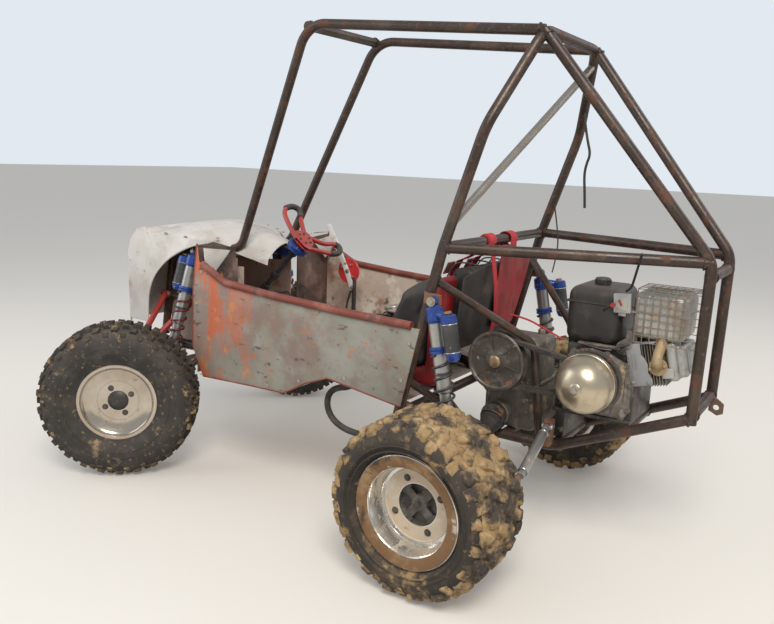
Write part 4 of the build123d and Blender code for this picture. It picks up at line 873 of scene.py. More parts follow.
@dataclass
class Wheel:
    """One wheel: knobbly tyre, rim, disc and hub, all in the frame of its axle.

    The frame's origin is in the tyre's middle plane and its z points out of the wheel's face.
    """

    axle: Axle
    name: str
    side: int
    roll: float
    width: float
    tread: float
    rim_width: float
    lip: float
    lip_wall: float
    disc: float
    bead: float = 127.0
    flange: float = 141.0
    lug: float = 15.0
    hole: float = 37.0

    def body(self) -> str:
        """Name of the CAD body it rides on."""
        return f"wheel_{self.axle.value}_{self.name}"

    def matrix(self) -> Matrix:
        """Frame of the axle, parked."""
        if self.axle is Axle.FRONT:
            out = outward(self.side)
            return basis(place(1377, self.side * 506, 285) + out * 90 * MM, out)
        return aimed(0, self.side * 584, 258, Vector((0, self.side, 0)))

    def carcass(self) -> list[tuple[float, float]]:
        """Section of the tyre without its lugs, as (along, radius) from the inner bead round to the outer."""
        base = self.roll - self.lug
        half, crown = self.width / 2, self.tread / 2
        outer, inner = self.rim_width / 2 - self.lip_wall - 0.4, self.rim_width / 2 - 3.4
        side = [(-inner, self.bead + 1), (-inner, self.flange + 3)]
        for share, reach in ((0.12, 0.86), (0.32, 0.975), (0.52, 0.985), (0.72, 0.95), (0.88, 0.87)):
            radius = self.flange + 3 + (base - self.flange - 3) * share
            side.append((-half * reach, radius))
        side += [(-crown - 6, base - 5), (-crown * 0.7, base - 0.5), (0, base + 1),
                 (crown * 0.7, base - 0.5), (crown + 6, base - 5)]
        edge = max(self.flange, self.lip) + 3
        for share, reach in ((0.88, 0.87), (0.72, 0.95), (0.52, 0.985), (0.32, 0.975), (0.12, 0.86)):
            side.append((half * reach, edge + (base - edge) * share))
        return side + [(outer, edge), (outer, self.bead + 1), (-inner, self.bead + 1)]

    def knob(self, bm: Shape, turn: float, along: float, size: Point, lean: float = 0.0,
             skew: float = 0.0, lift: float = 0.0) -> None:
        """Add one tapered lug.

        Args:
            bm: Mesh to add to.
            turn: Its angle round the wheel, in radians.
            along: Its place across the tread.
            size: Length round the tyre, width across it and height.
            lean: Tilt towards the sidewall, in radians.
            skew: Turn about its own height, in radians.
            lift: How far it sinks below the tread's top.
        """
        length, across, height = size
        made = bmesh.ops.create_cube(bm, size=1.0)["verts"]
        for vert in made:
            top = vert.co.z > 0
            vert.co.x *= length * MM * (0.80 if top else 1.12)
            vert.co.y *= across * MM * (0.82 if top else 1.10)
            vert.co.z *= height * MM
        seat = Matrix.Rotation(turn, 4, "Z") @ Matrix.Translation(
            ((self.roll - height / 2 - lift) * MM, 0, along * MM)) @ Matrix.Rotation(math.pi / 2, 4, "Y")
        seat = seat @ Matrix.Rotation(math.pi / 2, 4, "Z") @ Matrix.Rotation(lean, 4, "X")
        bmesh.ops.transform(bm, matrix=self.matrix() @ seat @ Matrix.Rotation(skew, 4, "Z"), verts=made)

    def tyre(self) -> None:
        """Tyre with its lugs, sidewall rings and mud between the lugs."""
        bm = bmesh.new()
        spun(bm, self.matrix(), self.carcass(), 96)
        wall = self.width / 2
        for reach, share in ((0.985, 0.36), (0.99, 0.52)):
            radius = self.flange + (self.roll - self.lug - self.flange) * share
            for outer in (-1, 1):
                ring(bm, self.matrix() @ slid(outer * (wall * reach - 1.0)), radius, 2.0,
                     72, 6)
        draw = random.Random(7 if self.axle is Axle.FRONT else 11)
        lugs = bmesh.new()
        for count, along, size, lean, skew, shift, lift in self.rows():
            for number in range(count):
                turn = TURN * (number + shift) / count
                grown = [s * draw.uniform(0.93, 1.06) for s in size[:2]] + [size[2]]
                self.knob(lugs, turn, along, grown, lean, skew, lift)
        muddy = self.axle is Axle.REAR
        finish_piece(f"{self.body()}_tyre", bm, MUDDY_TYRE if muddy else TYRE, self.body(),
                     [f"tyre_{self.axle.value}_{self.name}"], 40)
        bmesh.ops.subdivide_edges(lugs, edges=lugs.edges, cuts=3 if muddy else 1, use_grid_fill=True)
        if muddy:
            base, last = self.roll - self.lug, 22
            band = [(-106 + 212 * step / last, base + 9 - 10 * abs(2 * step / last - 1) ** 4)
                    for step in range(last + 1)]
            band = [(-112, base - 12), *band, (112, base - 12)]
            bmesh.ops.smooth_vert(lugs, verts=lugs.verts, factor=0.5, use_axis_x=True, use_axis_y=True,
                                  use_axis_z=True)
            spun(lugs, self.matrix(), band, 180)
        self.caked(lugs, 7.0 if muddy else 1.6)
        finish_piece(f"{self.body()}_lugs", lugs, TREAD_MUD if muddy else MUDDY_TYRE, self.body(),
                     sharp=75 if muddy else 50)

    def caked(self, bm: Shape, depth: float) -> None:
        """Push a mesh about by noise, as mud builds up on lugs, without growing past the tyre's size.

        Args:
            bm: The lugs.
            depth: How far the mud moves a point, in millimetres.
        """
        middle, out = self.matrix().to_translation(), self.matrix().to_3x3() @ UP
        for vert in bm.verts:
            away = vert.co - middle
            along = away.dot(out)
            ray = away - out * along
            drift = (noise.noise_vector(vert.co * 34) + noise.noise_vector(vert.co * 85) * 0.5) * depth * MM
            spot = ray + drift - out * drift.dot(out) * 0.3
            limit = self.roll * MM - 0.0003
            if spot.length > limit:
                spot = spot.normalized() * limit
            vert.co = middle + spot + out * along

    def rows(self) -> list[tuple]:
        """Rows of lugs: count, place across, size, lean, skew, shift round the tyre and depth."""
        if self.axle is Axle.FRONT:
            return [(26, 0, (26, 30, 17), 0, 0.1, 0.0, 0.0), (26, -34, (24, 24, 17), 0.10, -0.25, 0.5, 1.0),
                    (26, 34, (24, 24, 17), -0.10, 0.25, 0.5, 1.0),
                    (26, -60, (27, 24, 20), 0.55, 0, 0.0, 7.0), (26, 60, (27, 24, 20), -0.55, 0, 0.0, 7.0),
                    (26, -76, (22, 18, 12), 1.05, 0, 0.5, 26.0), (26, 76, (22, 18, 12), -1.05, 0, 0.5, 26.0)]
        return [(18, -26, (34, 66, 24), 0, 0.6, 0.0, 0.0), (18, 26, (34, 66, 24), 0, -0.6, 0.5, 0.0),
                (18, -70, (36, 56, 25), 0.12, -0.4, 0.5, 1.0), (18, 70, (36, 56, 25), -0.12, 0.4, 0.0, 1.0),
                (18, -98, (42, 46, 30), 0.55, 0.12, 0.0, 9.0),
                (18, 98, (42, 46, 30), -0.55, -0.12, 0.5, 9.0), (18, -114, (34, 32, 20), 1.1, 0, 0.5, 30.0),
                (18, 114, (34, 32, 20), -1.1, 0, 0.0, 30.0)]

    def rim(self) -> None:
        """Rim with rolled lips and the dished disc."""
        bm = bmesh.new()
        outer, inner, disc, bead = self.rim_width / 2, -self.rim_width / 2, self.disc, self.bead
        inside = bead - 4
        front = self.axle is Axle.FRONT
        profile = [(inner + 3, self.flange - 2), (inner, self.flange), (inner, bead + 2),
                   (inner + 6, inside), (disc - 30, inside), (disc - 22, inside - 8),
                   (disc - 12, inside - 16), (disc - 5, inside - 22), (disc - 5, self.hole),
                   (disc, self.hole)]
        if front:
            profile += [(disc, 70), (disc + 1, 84), (disc + 3.5, 97), (disc + 7.5, 108), (disc + 12, 117),
                        (disc + 15, 124), (outer - 1.4, 130), (outer - 0.5, 136), (outer - 1.6, self.lip),
                        (outer - 4, self.lip - 2)]
        else:
            profile += [(disc, inside - 20), (disc + 3, inside - 17), (disc + 4, inside - 8),
                        (disc + 10, inside - 4), (outer - 14, inside), (outer - 8, bead),
                        (outer - 5, bead + 4), (outer - 3, bead + 14), (outer - 1.2, self.lip - 8),
                        (outer - 0.8, self.lip - 3), (outer - 2.5, self.lip), (outer - 7, self.lip - 1),
                        (outer - 8, self.lip - 8)]
        profile += [(outer - self.lip_wall - 0.5, bead), (inner + 3.5, bead), (inner + 3, self.flange - 2)]
        spun(bm, self.matrix(), profile, 72)
        node = f"rim_{self.axle.value}_{self.name}"
        finish_piece(f"{self.body()}_rim", bm, DISH if front else POLISHED, self.body(), [node],
                     38)
        bm = bmesh.new()
        if front:
            ring(bm, self.matrix() @ slid(disc + 0.4), 74, 1.0, 60, 6)
            finish_piece(f"{self.body()}_step", bm, DISH, self.body())
            return
        spun(bm, self.matrix(), ((disc - 4.6, self.hole + 1), (disc + 0.7, self.hole + 2),
                                 (disc + 0.7, inside - 21), (disc + 3.6, inside - 18),
                                 (disc + 2.5, inside - 19)), 60)
        finish_piece(f"{self.body()}_disc_dust", bm, TAN_DISC, self.body())
        bm = bmesh.new()
        spun(bm, self.matrix(), ((outer - 7, bead - 0.4), (outer - 4.2, bead + 4), (outer - 2.2, bead + 14),
                                 (outer - 0.5, self.lip - 8), (outer - 0.2, self.lip - 3),
                                 (outer - 2.8, self.lip - 1.5)), 72)
        finish_piece(f"{self.body()}_lip_mud", bm, RUSTY_LIP, self.body())

    def hub(self) -> None:
        """Hub with its cap and nuts: flat black cap in front, open four-arm star at the rear."""
        disc, node = self.disc, f"hub_{self.axle.value}_{self.name}"
        out = self.matrix().to_3x3() @ UP
        front = self.axle is Axle.FRONT
        bm = bmesh.new()
        if front:
            spun(bm, self.matrix(), [(-60, 0), (-60, 24), (-56, 26), (disc - 26, 26), (disc - 22, 34),
                                     (disc - 16, 62), (disc - 6, 62), (disc - 5.4, 36), (disc + 2, 36),
                                     (disc + 4, 33), (disc + 7, 28), (disc + 10, 20), (disc + 11, 10),
                                     (disc + 11, 0)], 40)
        else:
            spun(bm, self.matrix(), [(-150, 0), (-150, 17), (-70, 17), (-60, 26), (disc - 34, 26),
                                     (disc - 28, 66), (disc - 8, 68), (disc - 6, 62), (disc - 20, 58),
                                     (disc - 22, 30), (disc - 8, 24), (disc - 4, 18), (disc - 4, 0)], 48)
            for number in range(4):
                spoke = self.matrix() @ Matrix.Rotation(TURN * (number + 0.55) / 4, 4, "Z")
                box(bm, spoke @ Matrix.Translation((40 * MM, 0, (disc - 10) * MM)), (48, 26, 8), 3)
                box(bm, spoke @ Matrix.Translation((56 * MM, 0, (disc - 9) * MM)), (14, 40, 7), 3)
        finish_piece(f"{self.body()}_hub", bm, BLACK if front else DARK_CAST, self.body(), [node])
        bm = bmesh.new()
        spread = 52 if front else 80
        for number in range(4):
            turn = TURN * (number + 0.30) / 4
            spot = self.matrix() @ Vector((spread * math.cos(turn) * MM, spread * math.sin(turn) * MM,
                                           (disc + 1) * MM))
            bolt(bm, spot, out, 8 if front else 7, 5)
            ring(bm, Matrix.Translation(spot) @ self.matrix().to_3x3().to_4x4(), 9.5, 1.2, 20, 6)
        drum(bm, self.matrix(), 7, disc - 6, disc + (13 if front else 3), 6, bevel=1)
        finish_piece(f"{self.body()}_nuts", bm, DARK_CAST, self.body())

    def build(self) -> None:
        """Make the whole wheel."""
        self.tyre()
        self.rim()
        self.hub()


def wheels() -> list[Wheel]:
    """The four wheels with their real sizes."""
    made = []
    for name, side in SIDES:
        made.append(Wheel(Axle.FRONT, name, side, 285, 180, 124, 141, 141, 3, 44))
        made.append(Wheel(Axle.REAR, name, side, 258, 260, 206, 222, 162, 8, 42, lug=20, hole=61))
    return made


@dataclass
class Shock:
    """Shock absorber with its coil spring and side tank, between two eyes."""

    name: str
    top: Point
    foot: Point
    tank: Point
    coil: Finish
    turns: float = 7.0

    def build(self) -> None:
        """Make cap, body, collars, shaft, spring, tank and the two eyes."""
        top, foot = place(*self.top), place(*self.foot)
        down = (foot - top).normalized()
        length = (foot - top).length / MM
        axis = basis(top, down, LEFT)
        tank_top = top + down * 26 * MM + Vector(self.tank) * MM
        side_axis = basis(tank_top, down, LEFT)
        self.blue(axis, side_axis, top, foot, tank_top, length)
        bm = bmesh.new()
        spun(bm, axis, [(50, 0), (50, 23), (length * 0.60, 23), (length * 0.61, 20), (length * 0.61, 0)], 36)
        spun(bm, axis, [(length * 0.6, 0), (length * 0.6, 18), (length * 0.8, 18), (length * 0.8, 7),
                        (length - 20, 7), (length - 20, 0)], 24)
        for along in (28, 110):
            ring(bm, side_axis @ slid(along), 23.6, 1.4, 36, 6)
        finish_piece(f"{self.name}_silver", bm, SILVER)
        bm = bmesh.new()
        coil(bm, axis, 26.8, 4.2, length * 0.35, length - 46, self.turns)
        finish_piece(f"{self.name}_spring", bm, self.coil, replaces=["springs"],
                     sharp=60)
        bm = bmesh.new()
        spun(bm, axis, [(length - 46, 7), (length - 46, 29), (length - 42, 31), (length - 36, 31),
                        (length - 30, 22), (length - 22, 12), (length - 22, 7), (length - 46, 7)], 36)
        spun(bm, side_axis, [(26, 0), (26, 23), (112, 23), (112, 0)], 32)
        spun(bm, axis, [(length * 0.47, 23), (length * 0.47, 26), (length * 0.49, 26), (length * 0.49, 23)],
             36)
        finish_piece(f"{self.name}_dark", bm, TANK_GREY)
        bm = bmesh.new()
        for eye in (top, foot):
            drum(bm, basis(eye, LEFT), 6.5, -12.5, 12.5, 16)
        spun(bm, side_axis, [(-9, 0), (-9, 9), (-7, 12), (-3, 12), (-2, 8), (-2, 0)], 20)
        finish_piece(f"{self.name}_bolts", bm, BRASSY)

    def blue(self, axis: Matrix, side_axis: Matrix, top: Vector, foot: Vector, tank_top: Vector,
             length: float) -> None:
        """Blue parts: cap with its bridge to the tank, adjusting collars, tank ends and eyes.

        Args:
            axis: Frame down the shock from its top eye.
            side_axis: Frame down the tank.
            top: Upper eye.
            foot: Lower eye.
            tank_top: Upper end of the tank.
            length: Between the eyes, in millimetres.
        """
        down = (foot - top).normalized()
        bm = bmesh.new()
        spun(bm, axis, [(12, 0), (12, 12), (18, 20), (22, 26), (56, 27), (60, 24), (64, 24), (64, 0)], 36)
        collar = length * 0.33
        spun(bm, axis, [(collar - 14, 22), (collar - 14, 29), (collar - 6, 30), (collar - 5, 27),
                        (collar - 2, 30), (collar + 5, 30), (collar + 7, 24), (collar - 14, 22)], 36)
        for eye, along in ((top, 1), (foot, -1)):
            side = LEFT
            for half in (-5, 5):
                ring(bm, basis(eye + side * half * MM, side), 10, 4.4, 24, 8)
            drum(bm, basis(eye + down * along * 14 * MM, down * along), 8, -4, 16, 16)
        spun(bm, side_axis, [(0, 0), (0, 18), (3, 23), (26, 24.5), (28, 22), (28, 0)], 32)
        spun(bm, side_axis, [(111, 0), (111, 23.5), (122, 22), (134, 17), (137, 9), (137, 0)], 32)
        tube(bm, [top + down * 34 * MM, (top + tank_top) / 2 + down * 24 * MM, tank_top + down * 14 * MM],
             13, 2, 4)
        finish_piece(f"{self.name}_blue", bm, SHOCK_BLUE, replaces=["shocks"])


TANK_GREY = Finish("tank_grey", (0.050, 0.052, 0.056), 0.32, 0.35, (
    Patch((0.12, 0.12, 0.12), 14, 0.3, 0.12, 0.35, 0.5),
    Patch(TAN, 50, 0.10, 0.05, 0.9)), dust=0.15)
BRASSY = Finish("brassy_nut", (0.42, 0.31, 0.19), 0.4, 0.85, (
    Patch((0.22, 0.15, 0.09), 40, 0.30, 0.10, 0.6, 0.4),
    Patch(TAN, 60, 0.15, 0.05, 0.9)), dust=0.2)


def shocks() -> list[Shock]:
    """The four shock absorbers between their mounts."""
    made = []
    for name, side in SIDES:
        made.append(Shock(f"shock_front_{name}", (1250, side * 262, 812), (1302, side * 371, 350),
                          (48, 0, 0), CRIMSON))
        made.append(Shock(f"shock_rear_{name}", (108, side * 405, 785), (18, side * 405, 345),
                          (-62, side * 30, 0), BLACK))
    return made


@dataclass
class FrontAxle:
    """Details of the front suspension round the CAD arms: ball joints, posts, bushes and bolts."""

    kingpin: tuple[float, float] = (1377, 506)
    post_half: float = 77

    def knuckles(self) -> None:
        """Uprights with their ball joints, spindle bosses and steering arms."""
        for name, side in SIDES:
            x, y = self.kingpin
            out = outward(side)
            ahead = Vector((math.cos(STEER), math.sin(STEER), 0))
            middle = place(x, side * y, 285)
            frame_up = basis(middle, UP, ahead)
            bm = bmesh.new()
            box(bm, frame_up, (30, 20, 2 * self.post_half), 5)
            for end in (-1, 1):
                drum(bm, frame_up @ slid(end * (self.post_half - 9)), 17, -9, 9, 24, bevel=2)
                drum(bm, frame_up, 8, end * 92 - 16, end * 92 + 16, 16)
            drum(bm, basis(middle, out), 26, 2, 20, 28, 20, 1.5)
            drum(bm, basis(middle, out), 12.4, 10, 122, 20)
            low = 315.5 - 9.5 - 285
            drum(bm, frame_up @ Matrix.Translation((90 * MM, 0, 0)), 11, low - 14, low, 20, bevel=1.5)
            box(bm, frame_up @ Matrix.Translation((46 * MM, 0, (low - 7) * MM)), (88, 18, 12), 3)
            finish_piece(f"upright_{name}", bm, DARK_CAST, f"knuckle_{name}", [f"knuckle_{name}"])
            bm = bmesh.new()
            drum(bm, frame_up, 9, -117, -108, 6, bevel=0.8)
            drum(bm, frame_up, 9, 108, 117, 6, bevel=0.8)
            finish_piece(f"ball_nuts_{name}", bm, BOLT, f"knuckle_{name}")

    def bushes(self) -> None:
        """Bolts and bush faces at the arms' inner eyes."""
        bm = bmesh.new()
        for side in BOTH:
            for z, reaches in ((398.0, (60, -130)), (602.6, (130, -45))):
                for reach in reaches:
                    for end in (-1, 1):
                        spot = place(1377 + reach + end * 18, side * 189.3, z)
                        bolt(bm, spot, Vector((end, 0, 0)), 8, 6)
        finish_piece("arm_eye_bolts", bm, BOLT)

    def tie_ends(self) -> None:
        """Boots on the rack's ends and rod ends on the tie rods."""
        bm = bmesh.new()
        reach = 90 * math.sin(STEER)
        for side in BOTH:
            spot = place(1445.5, side * 506 + reach, 315.5)
            drum(bm, basis(spot, UP), 13, -8, 8, 24, bevel=2)
            bolt(bm, spot + Vector((0, 0, 8 * MM)), UP, 8, 7, False)
            drum(bm, basis(spot, Vector((0, -side, 0))), 10.5, 10, 34, 6)
        tube(bm, placed((1445.5, -506 + reach, 315.5), (1445.5, 506 + reach, 315.5)), 8, 2, 4)
        finish_piece("tie_rod_bar", bm, BRIGHT, "tie_bar", ["tie_rods"])

    def build(self) -> None:
        """Make all of the front axle's details."""
        self.knuckles()
        self.bushes()
        self.tie_ends()


@dataclass
class RearAxle:
    """Half shafts with ribbed boots, carrier faces and the lateral links' clevises."""

    shaft_in: float = 150
    shaft_z: float = 397
    axle_z: float = 258

    def boot(self, bm: Shape, axis: Matrix, low: float, high: float, wide: float, narrow: float,
             folds: int = 5) -> None:
        """Ribbed boot from a wide end to a narrow one."""
        profile = [(low, 0), (low, wide)]
        for fold in range(folds):
            share = (fold + 0.5) / folds
            radius = wide + (narrow - wide) * share
            along = low + (high - low) * share
            profile += [(along - 2, radius - 4), (along + 3, radius + 2)]
        spun(bm, axis, profile + [(high, narrow), (high, 0)], 36)

    def build(self) -> None:
        """Make shafts, boots, joints and link ends on both sides."""
        rubber, steel = bmesh.new(), bmesh.new()
        for side in BOTH:
            start = place(0, side * (self.shaft_in + 0.3), self.shaft_z)
            end = place(0, side * 393, self.axle_z)
            axis = basis(start, end - start)
            length = (end - start).length / MM
            self.boot(rubber, axis, 24, 92, 40, 13)
            self.boot(rubber, axis, length - 22, length - 68, 30, 13, 4)
            for along, radius in ((26, 42.5), (92, 14), (length - 24, 32), (length - 68, 14)):
                ring(steel, axis @ slid(along), radius - 1.4, 1.8, 32, 6)
            drum(steel, axis, 11, 80, length - 62, 24)
            drum(steel, basis(start, LEFT * side), 40, 0, 30, 36, bevel=3)
            drum(steel, axis, 29, length - 24, length - 1, 32, bevel=3)
            for number in range(6):
                turn = TURN * number / 6
                spot = start + Vector((33 * math.cos(turn) * MM, side * 27 * MM, 33 * math.sin(turn) * MM))
                bolt(steel, spot, LEFT * side, 4, 4, False)
        finish_piece("axle_boots", rubber, RUBBER, replaces=["half_shafts"])
        finish_piece("axle_shafts", steel, SHEAVE)
        links = bmesh.new()
        for side in BOTH:
            inner, outer = place(-188, side * 182, 405), place(-205, side * 412, 322)
            along = (outer - inner).normalized()
            axis = basis(inner, along)
            length = (outer - inner).length / MM
            drum(links, axis, 14.8, 36, length - 22, 28)
            drum(links, axis, 12, 0, 36, 6, bevel=1)
            drum(links, axis, 12, length - 24, length - 3, 6, bevel=1)
            ring(links, axis @ slid(38), 13.5, 2.4, 28, 6)
            ring(links, axis @ slid(length - 24), 13.5, 2.4, 28, 6)
            bolt(links, inner + Vector((10 * MM, 0, 0)), AHEAD, 8, 6)
            bolt(links, inner - Vector((10 * MM, 0, 0)), Vector((-1, 0, 0)), 8, 6)
        finish_piece("radius_links", links, SILVER, replaces=["lateral_links"])


@dataclass
class BeltDrive:
    """Domed primary clutch, spoked driven sheave and the belt between them."""

    belt_y: float = 205
    width: float = 22
    driven: tuple[float, float, float] = (-18, 588, 94)
    primary: tuple[float, float, float] = (-308, 575, 90)
    grooves: tuple[float, float] = (72.5, 40.5)
    spokes: int = 6

    def hull(self, grow: float) -> list[tuple[float, float]]:
        """Outline of the belt round both grooves, grown by that much, as x and z."""
        (x1, z1, _), (x2, z2, _) = self.driven, self.primary
        r1, r2 = self.grooves[0] + grow, self.grooves[1] + grow
        reach = math.hypot(x2 - x1, z2 - z1)
        base = math.atan2(z2 - z1, x2 - x1)
        spread = math.acos((r1 - r2) / reach)
        points = []
        for x, z, r, start, sweep, steps in ((x1, z1, r1, base + spread, TURN - 2 * spread, 32),
                                             (x2, z2, r2, base - spread, 2 * spread, 24)):
            for step in range(steps + 1):
                turn = start + sweep * step / steps
                points.append((x + r * math.cos(turn), z + r * math.sin(turn)))
        return points

    def belt(self) -> None:
        """Rubber belt with its teeth on the inner side of both runs."""
        bm = bmesh.new()
        loops = []
        for grow in (0.6, 10.8):
            verts = [bm.verts.new(place(x, self.belt_y - self.width / 2, z)) for x, z in self.hull(grow)]
            loops += [bm.edges.new(pair) for pair in zip(verts, verts[1:] + verts[:1])]
        faces = bmesh.ops.bridge_loops(bm, edges=loops)["faces"]
        grown = bmesh.ops.extrude_face_region(bm, geom=faces)["geom"]
        bmesh.ops.translate(bm, vec=(0, self.width * MM, 0),
                            verts=[g for g in grown if isinstance(g, bmesh.types.BMVert)])
        teeth = self.hull(-1.2)
        for first, last in ((32, 33), (57, 0)):
            start, end = Vector(teeth[first]), Vector(teeth[last])
            count = int((end - start).length / 9)
            for number in range(count):
                x, z = start.lerp(end, (number + 0.5) / count)
                lean = math.atan2(end.y - start.y, end.x - start.x)
                box(bm, at(x, self.belt_y, z) @ Matrix.Rotation(-lean, 4, "Y"),
                    (5, self.width - 3, 5), 0.8, 1)
        finish_piece("drive_belt_rubber", bm, RUBBER, replaces=["drive_belt"])

    def sheave(self, spot: tuple[float, float, float], inner: float, name: str, node: str) -> None:
        """Driven sheave: two cheeks, a flat outer face with thin ribs, rolled rim and centre nut."""
        x, z, radius = spot
        axis = aimed(x, 0, z, LEFT)
        back, face, core = self.belt_y - self.width / 2 - 7, self.belt_y + self.width / 2 + 7.5, 71
        bm = bmesh.new()
        spun(bm, axis, [(inner, 0), (inner, 14), (back - 16, 14), (back - 10, 30), (back, radius - 3),
                        (back + 3, radius), (back + 6, radius - 1), (back + 7, core), (face - 8, core),
                        (face - 7, radius - 1), (face - 3, radius), (face, radius - 3), (face, radius - 9),
                        (face - 3, radius - 12), (face - 4, radius - 16), (face - 6, 40), (face - 4, 34),
                        (face - 2, 30), (face - 2, 0)], 72)
        finish_piece(f"{name}_cheeks", bm, SHEAVE, replaces=[node])
        bm = bmesh.new()
        for number in range(self.spokes):
            turn = axis @ Matrix.Rotation(TURN * (number + 0.25) / self.spokes, 4, "Z")
            box(bm, turn @ Matrix.Translation((55 * MM, 0, (face - 3.5) * MM)), (56, 3.4, 5), 1.2)
        ring(bm, axis @ slid(face - 1.5), radius - 5, 1.8, 72, 8)
        ring(bm, axis @ slid(face - 4), radius - 26, 1.0, 72, 6)
        finish_piece(f"{name}_ribs", bm, SHEAVE)
        bm = bmesh.new()
        spun(bm, axis, [(face - 6, 0), (face - 6, 20), (face + 5, 19), (face + 8, 15), (face + 9, 9),
                        (face + 9, 0)], 36)
        drum(bm, axis, 9, face + 8, face + 16, 6, bevel=1)
        finish_piece(f"{name}_nut", bm, BRASSY)

    def clutch(self) -> None:
        """Champagne dome with its cheeks, grooves and centre nut."""
        x, z, radius = self.primary
        axis = aimed(x, 0, z, LEFT)
        back, face = self.belt_y - self.width / 2 - 7, self.belt_y + self.width / 2 + 7.5
        bm = bmesh.new()
        spun(bm, axis, [(118.3, 0), (118.3, 14), (back - 8, 16), (back, radius - 3), (back + 3, radius),
                        (back + 7, radius - 2), (back + 7, 39), (face - 8, 39), (face - 7, radius - 2),
                        (face - 4, radius), (face, radius), (face + 1.5, radius - 2), (face + 1.5, 0)], 72)
        for along in (back - 4, face - 2.5):
            ring(bm, axis @ slid(along), radius - 2, 1.6, 72, 6)
        drum(bm, axis, radius + 7, back + 1, back + 6, 72, bevel=1.5)
        finish_piece("primary_cheeks", bm, SHEAVE, replaces=["primary_clutch"])
        bm = bmesh.new()
        profile = [(face + 1.5, 0), (face + 1.5, 86.5), (face + 7, 87.5), (face + 8, 86), (face + 11, 86.5),
                   (face + 14, 86)]
        for step in range(1, 12):
            share = step / 12
            profile.append((face + 14 + 78 * math.sin(share * math.pi / 2) ** 1.15,
                            86 * math.cos(share * math.pi / 2) ** 0.8))
        profile += [(face + 93, 19), (face + 95, 17), (face + 95, 0)]
        spun(bm, axis, profile, 80)
        for along, wide in ((face + 33, 81.2), (face + 38, 79.6)):
            ring(bm, axis @ slid(along), wide, 1.0, 80, 6)
        finish_piece("primary_dome", bm, CHAMPAGNE, sharp=50)
        bm = bmesh.new()
        drum(bm, axis, 14, face + 94, face + 98, 28, bevel=0.8)
        drum(bm, axis, 9.5, face + 98, face + 107, 6, bevel=0.8)
        drum(bm, axis, 4, face + 107, face + 112, 16)
        finish_piece("primary_nut", bm, BOLT)

    def build(self) -> None:
        """Make belt, driven sheave and primary clutch."""
        self.belt()
        self.sheave(self.driven, 118.3, "driven", "driven_clutch")
        self.clutch()


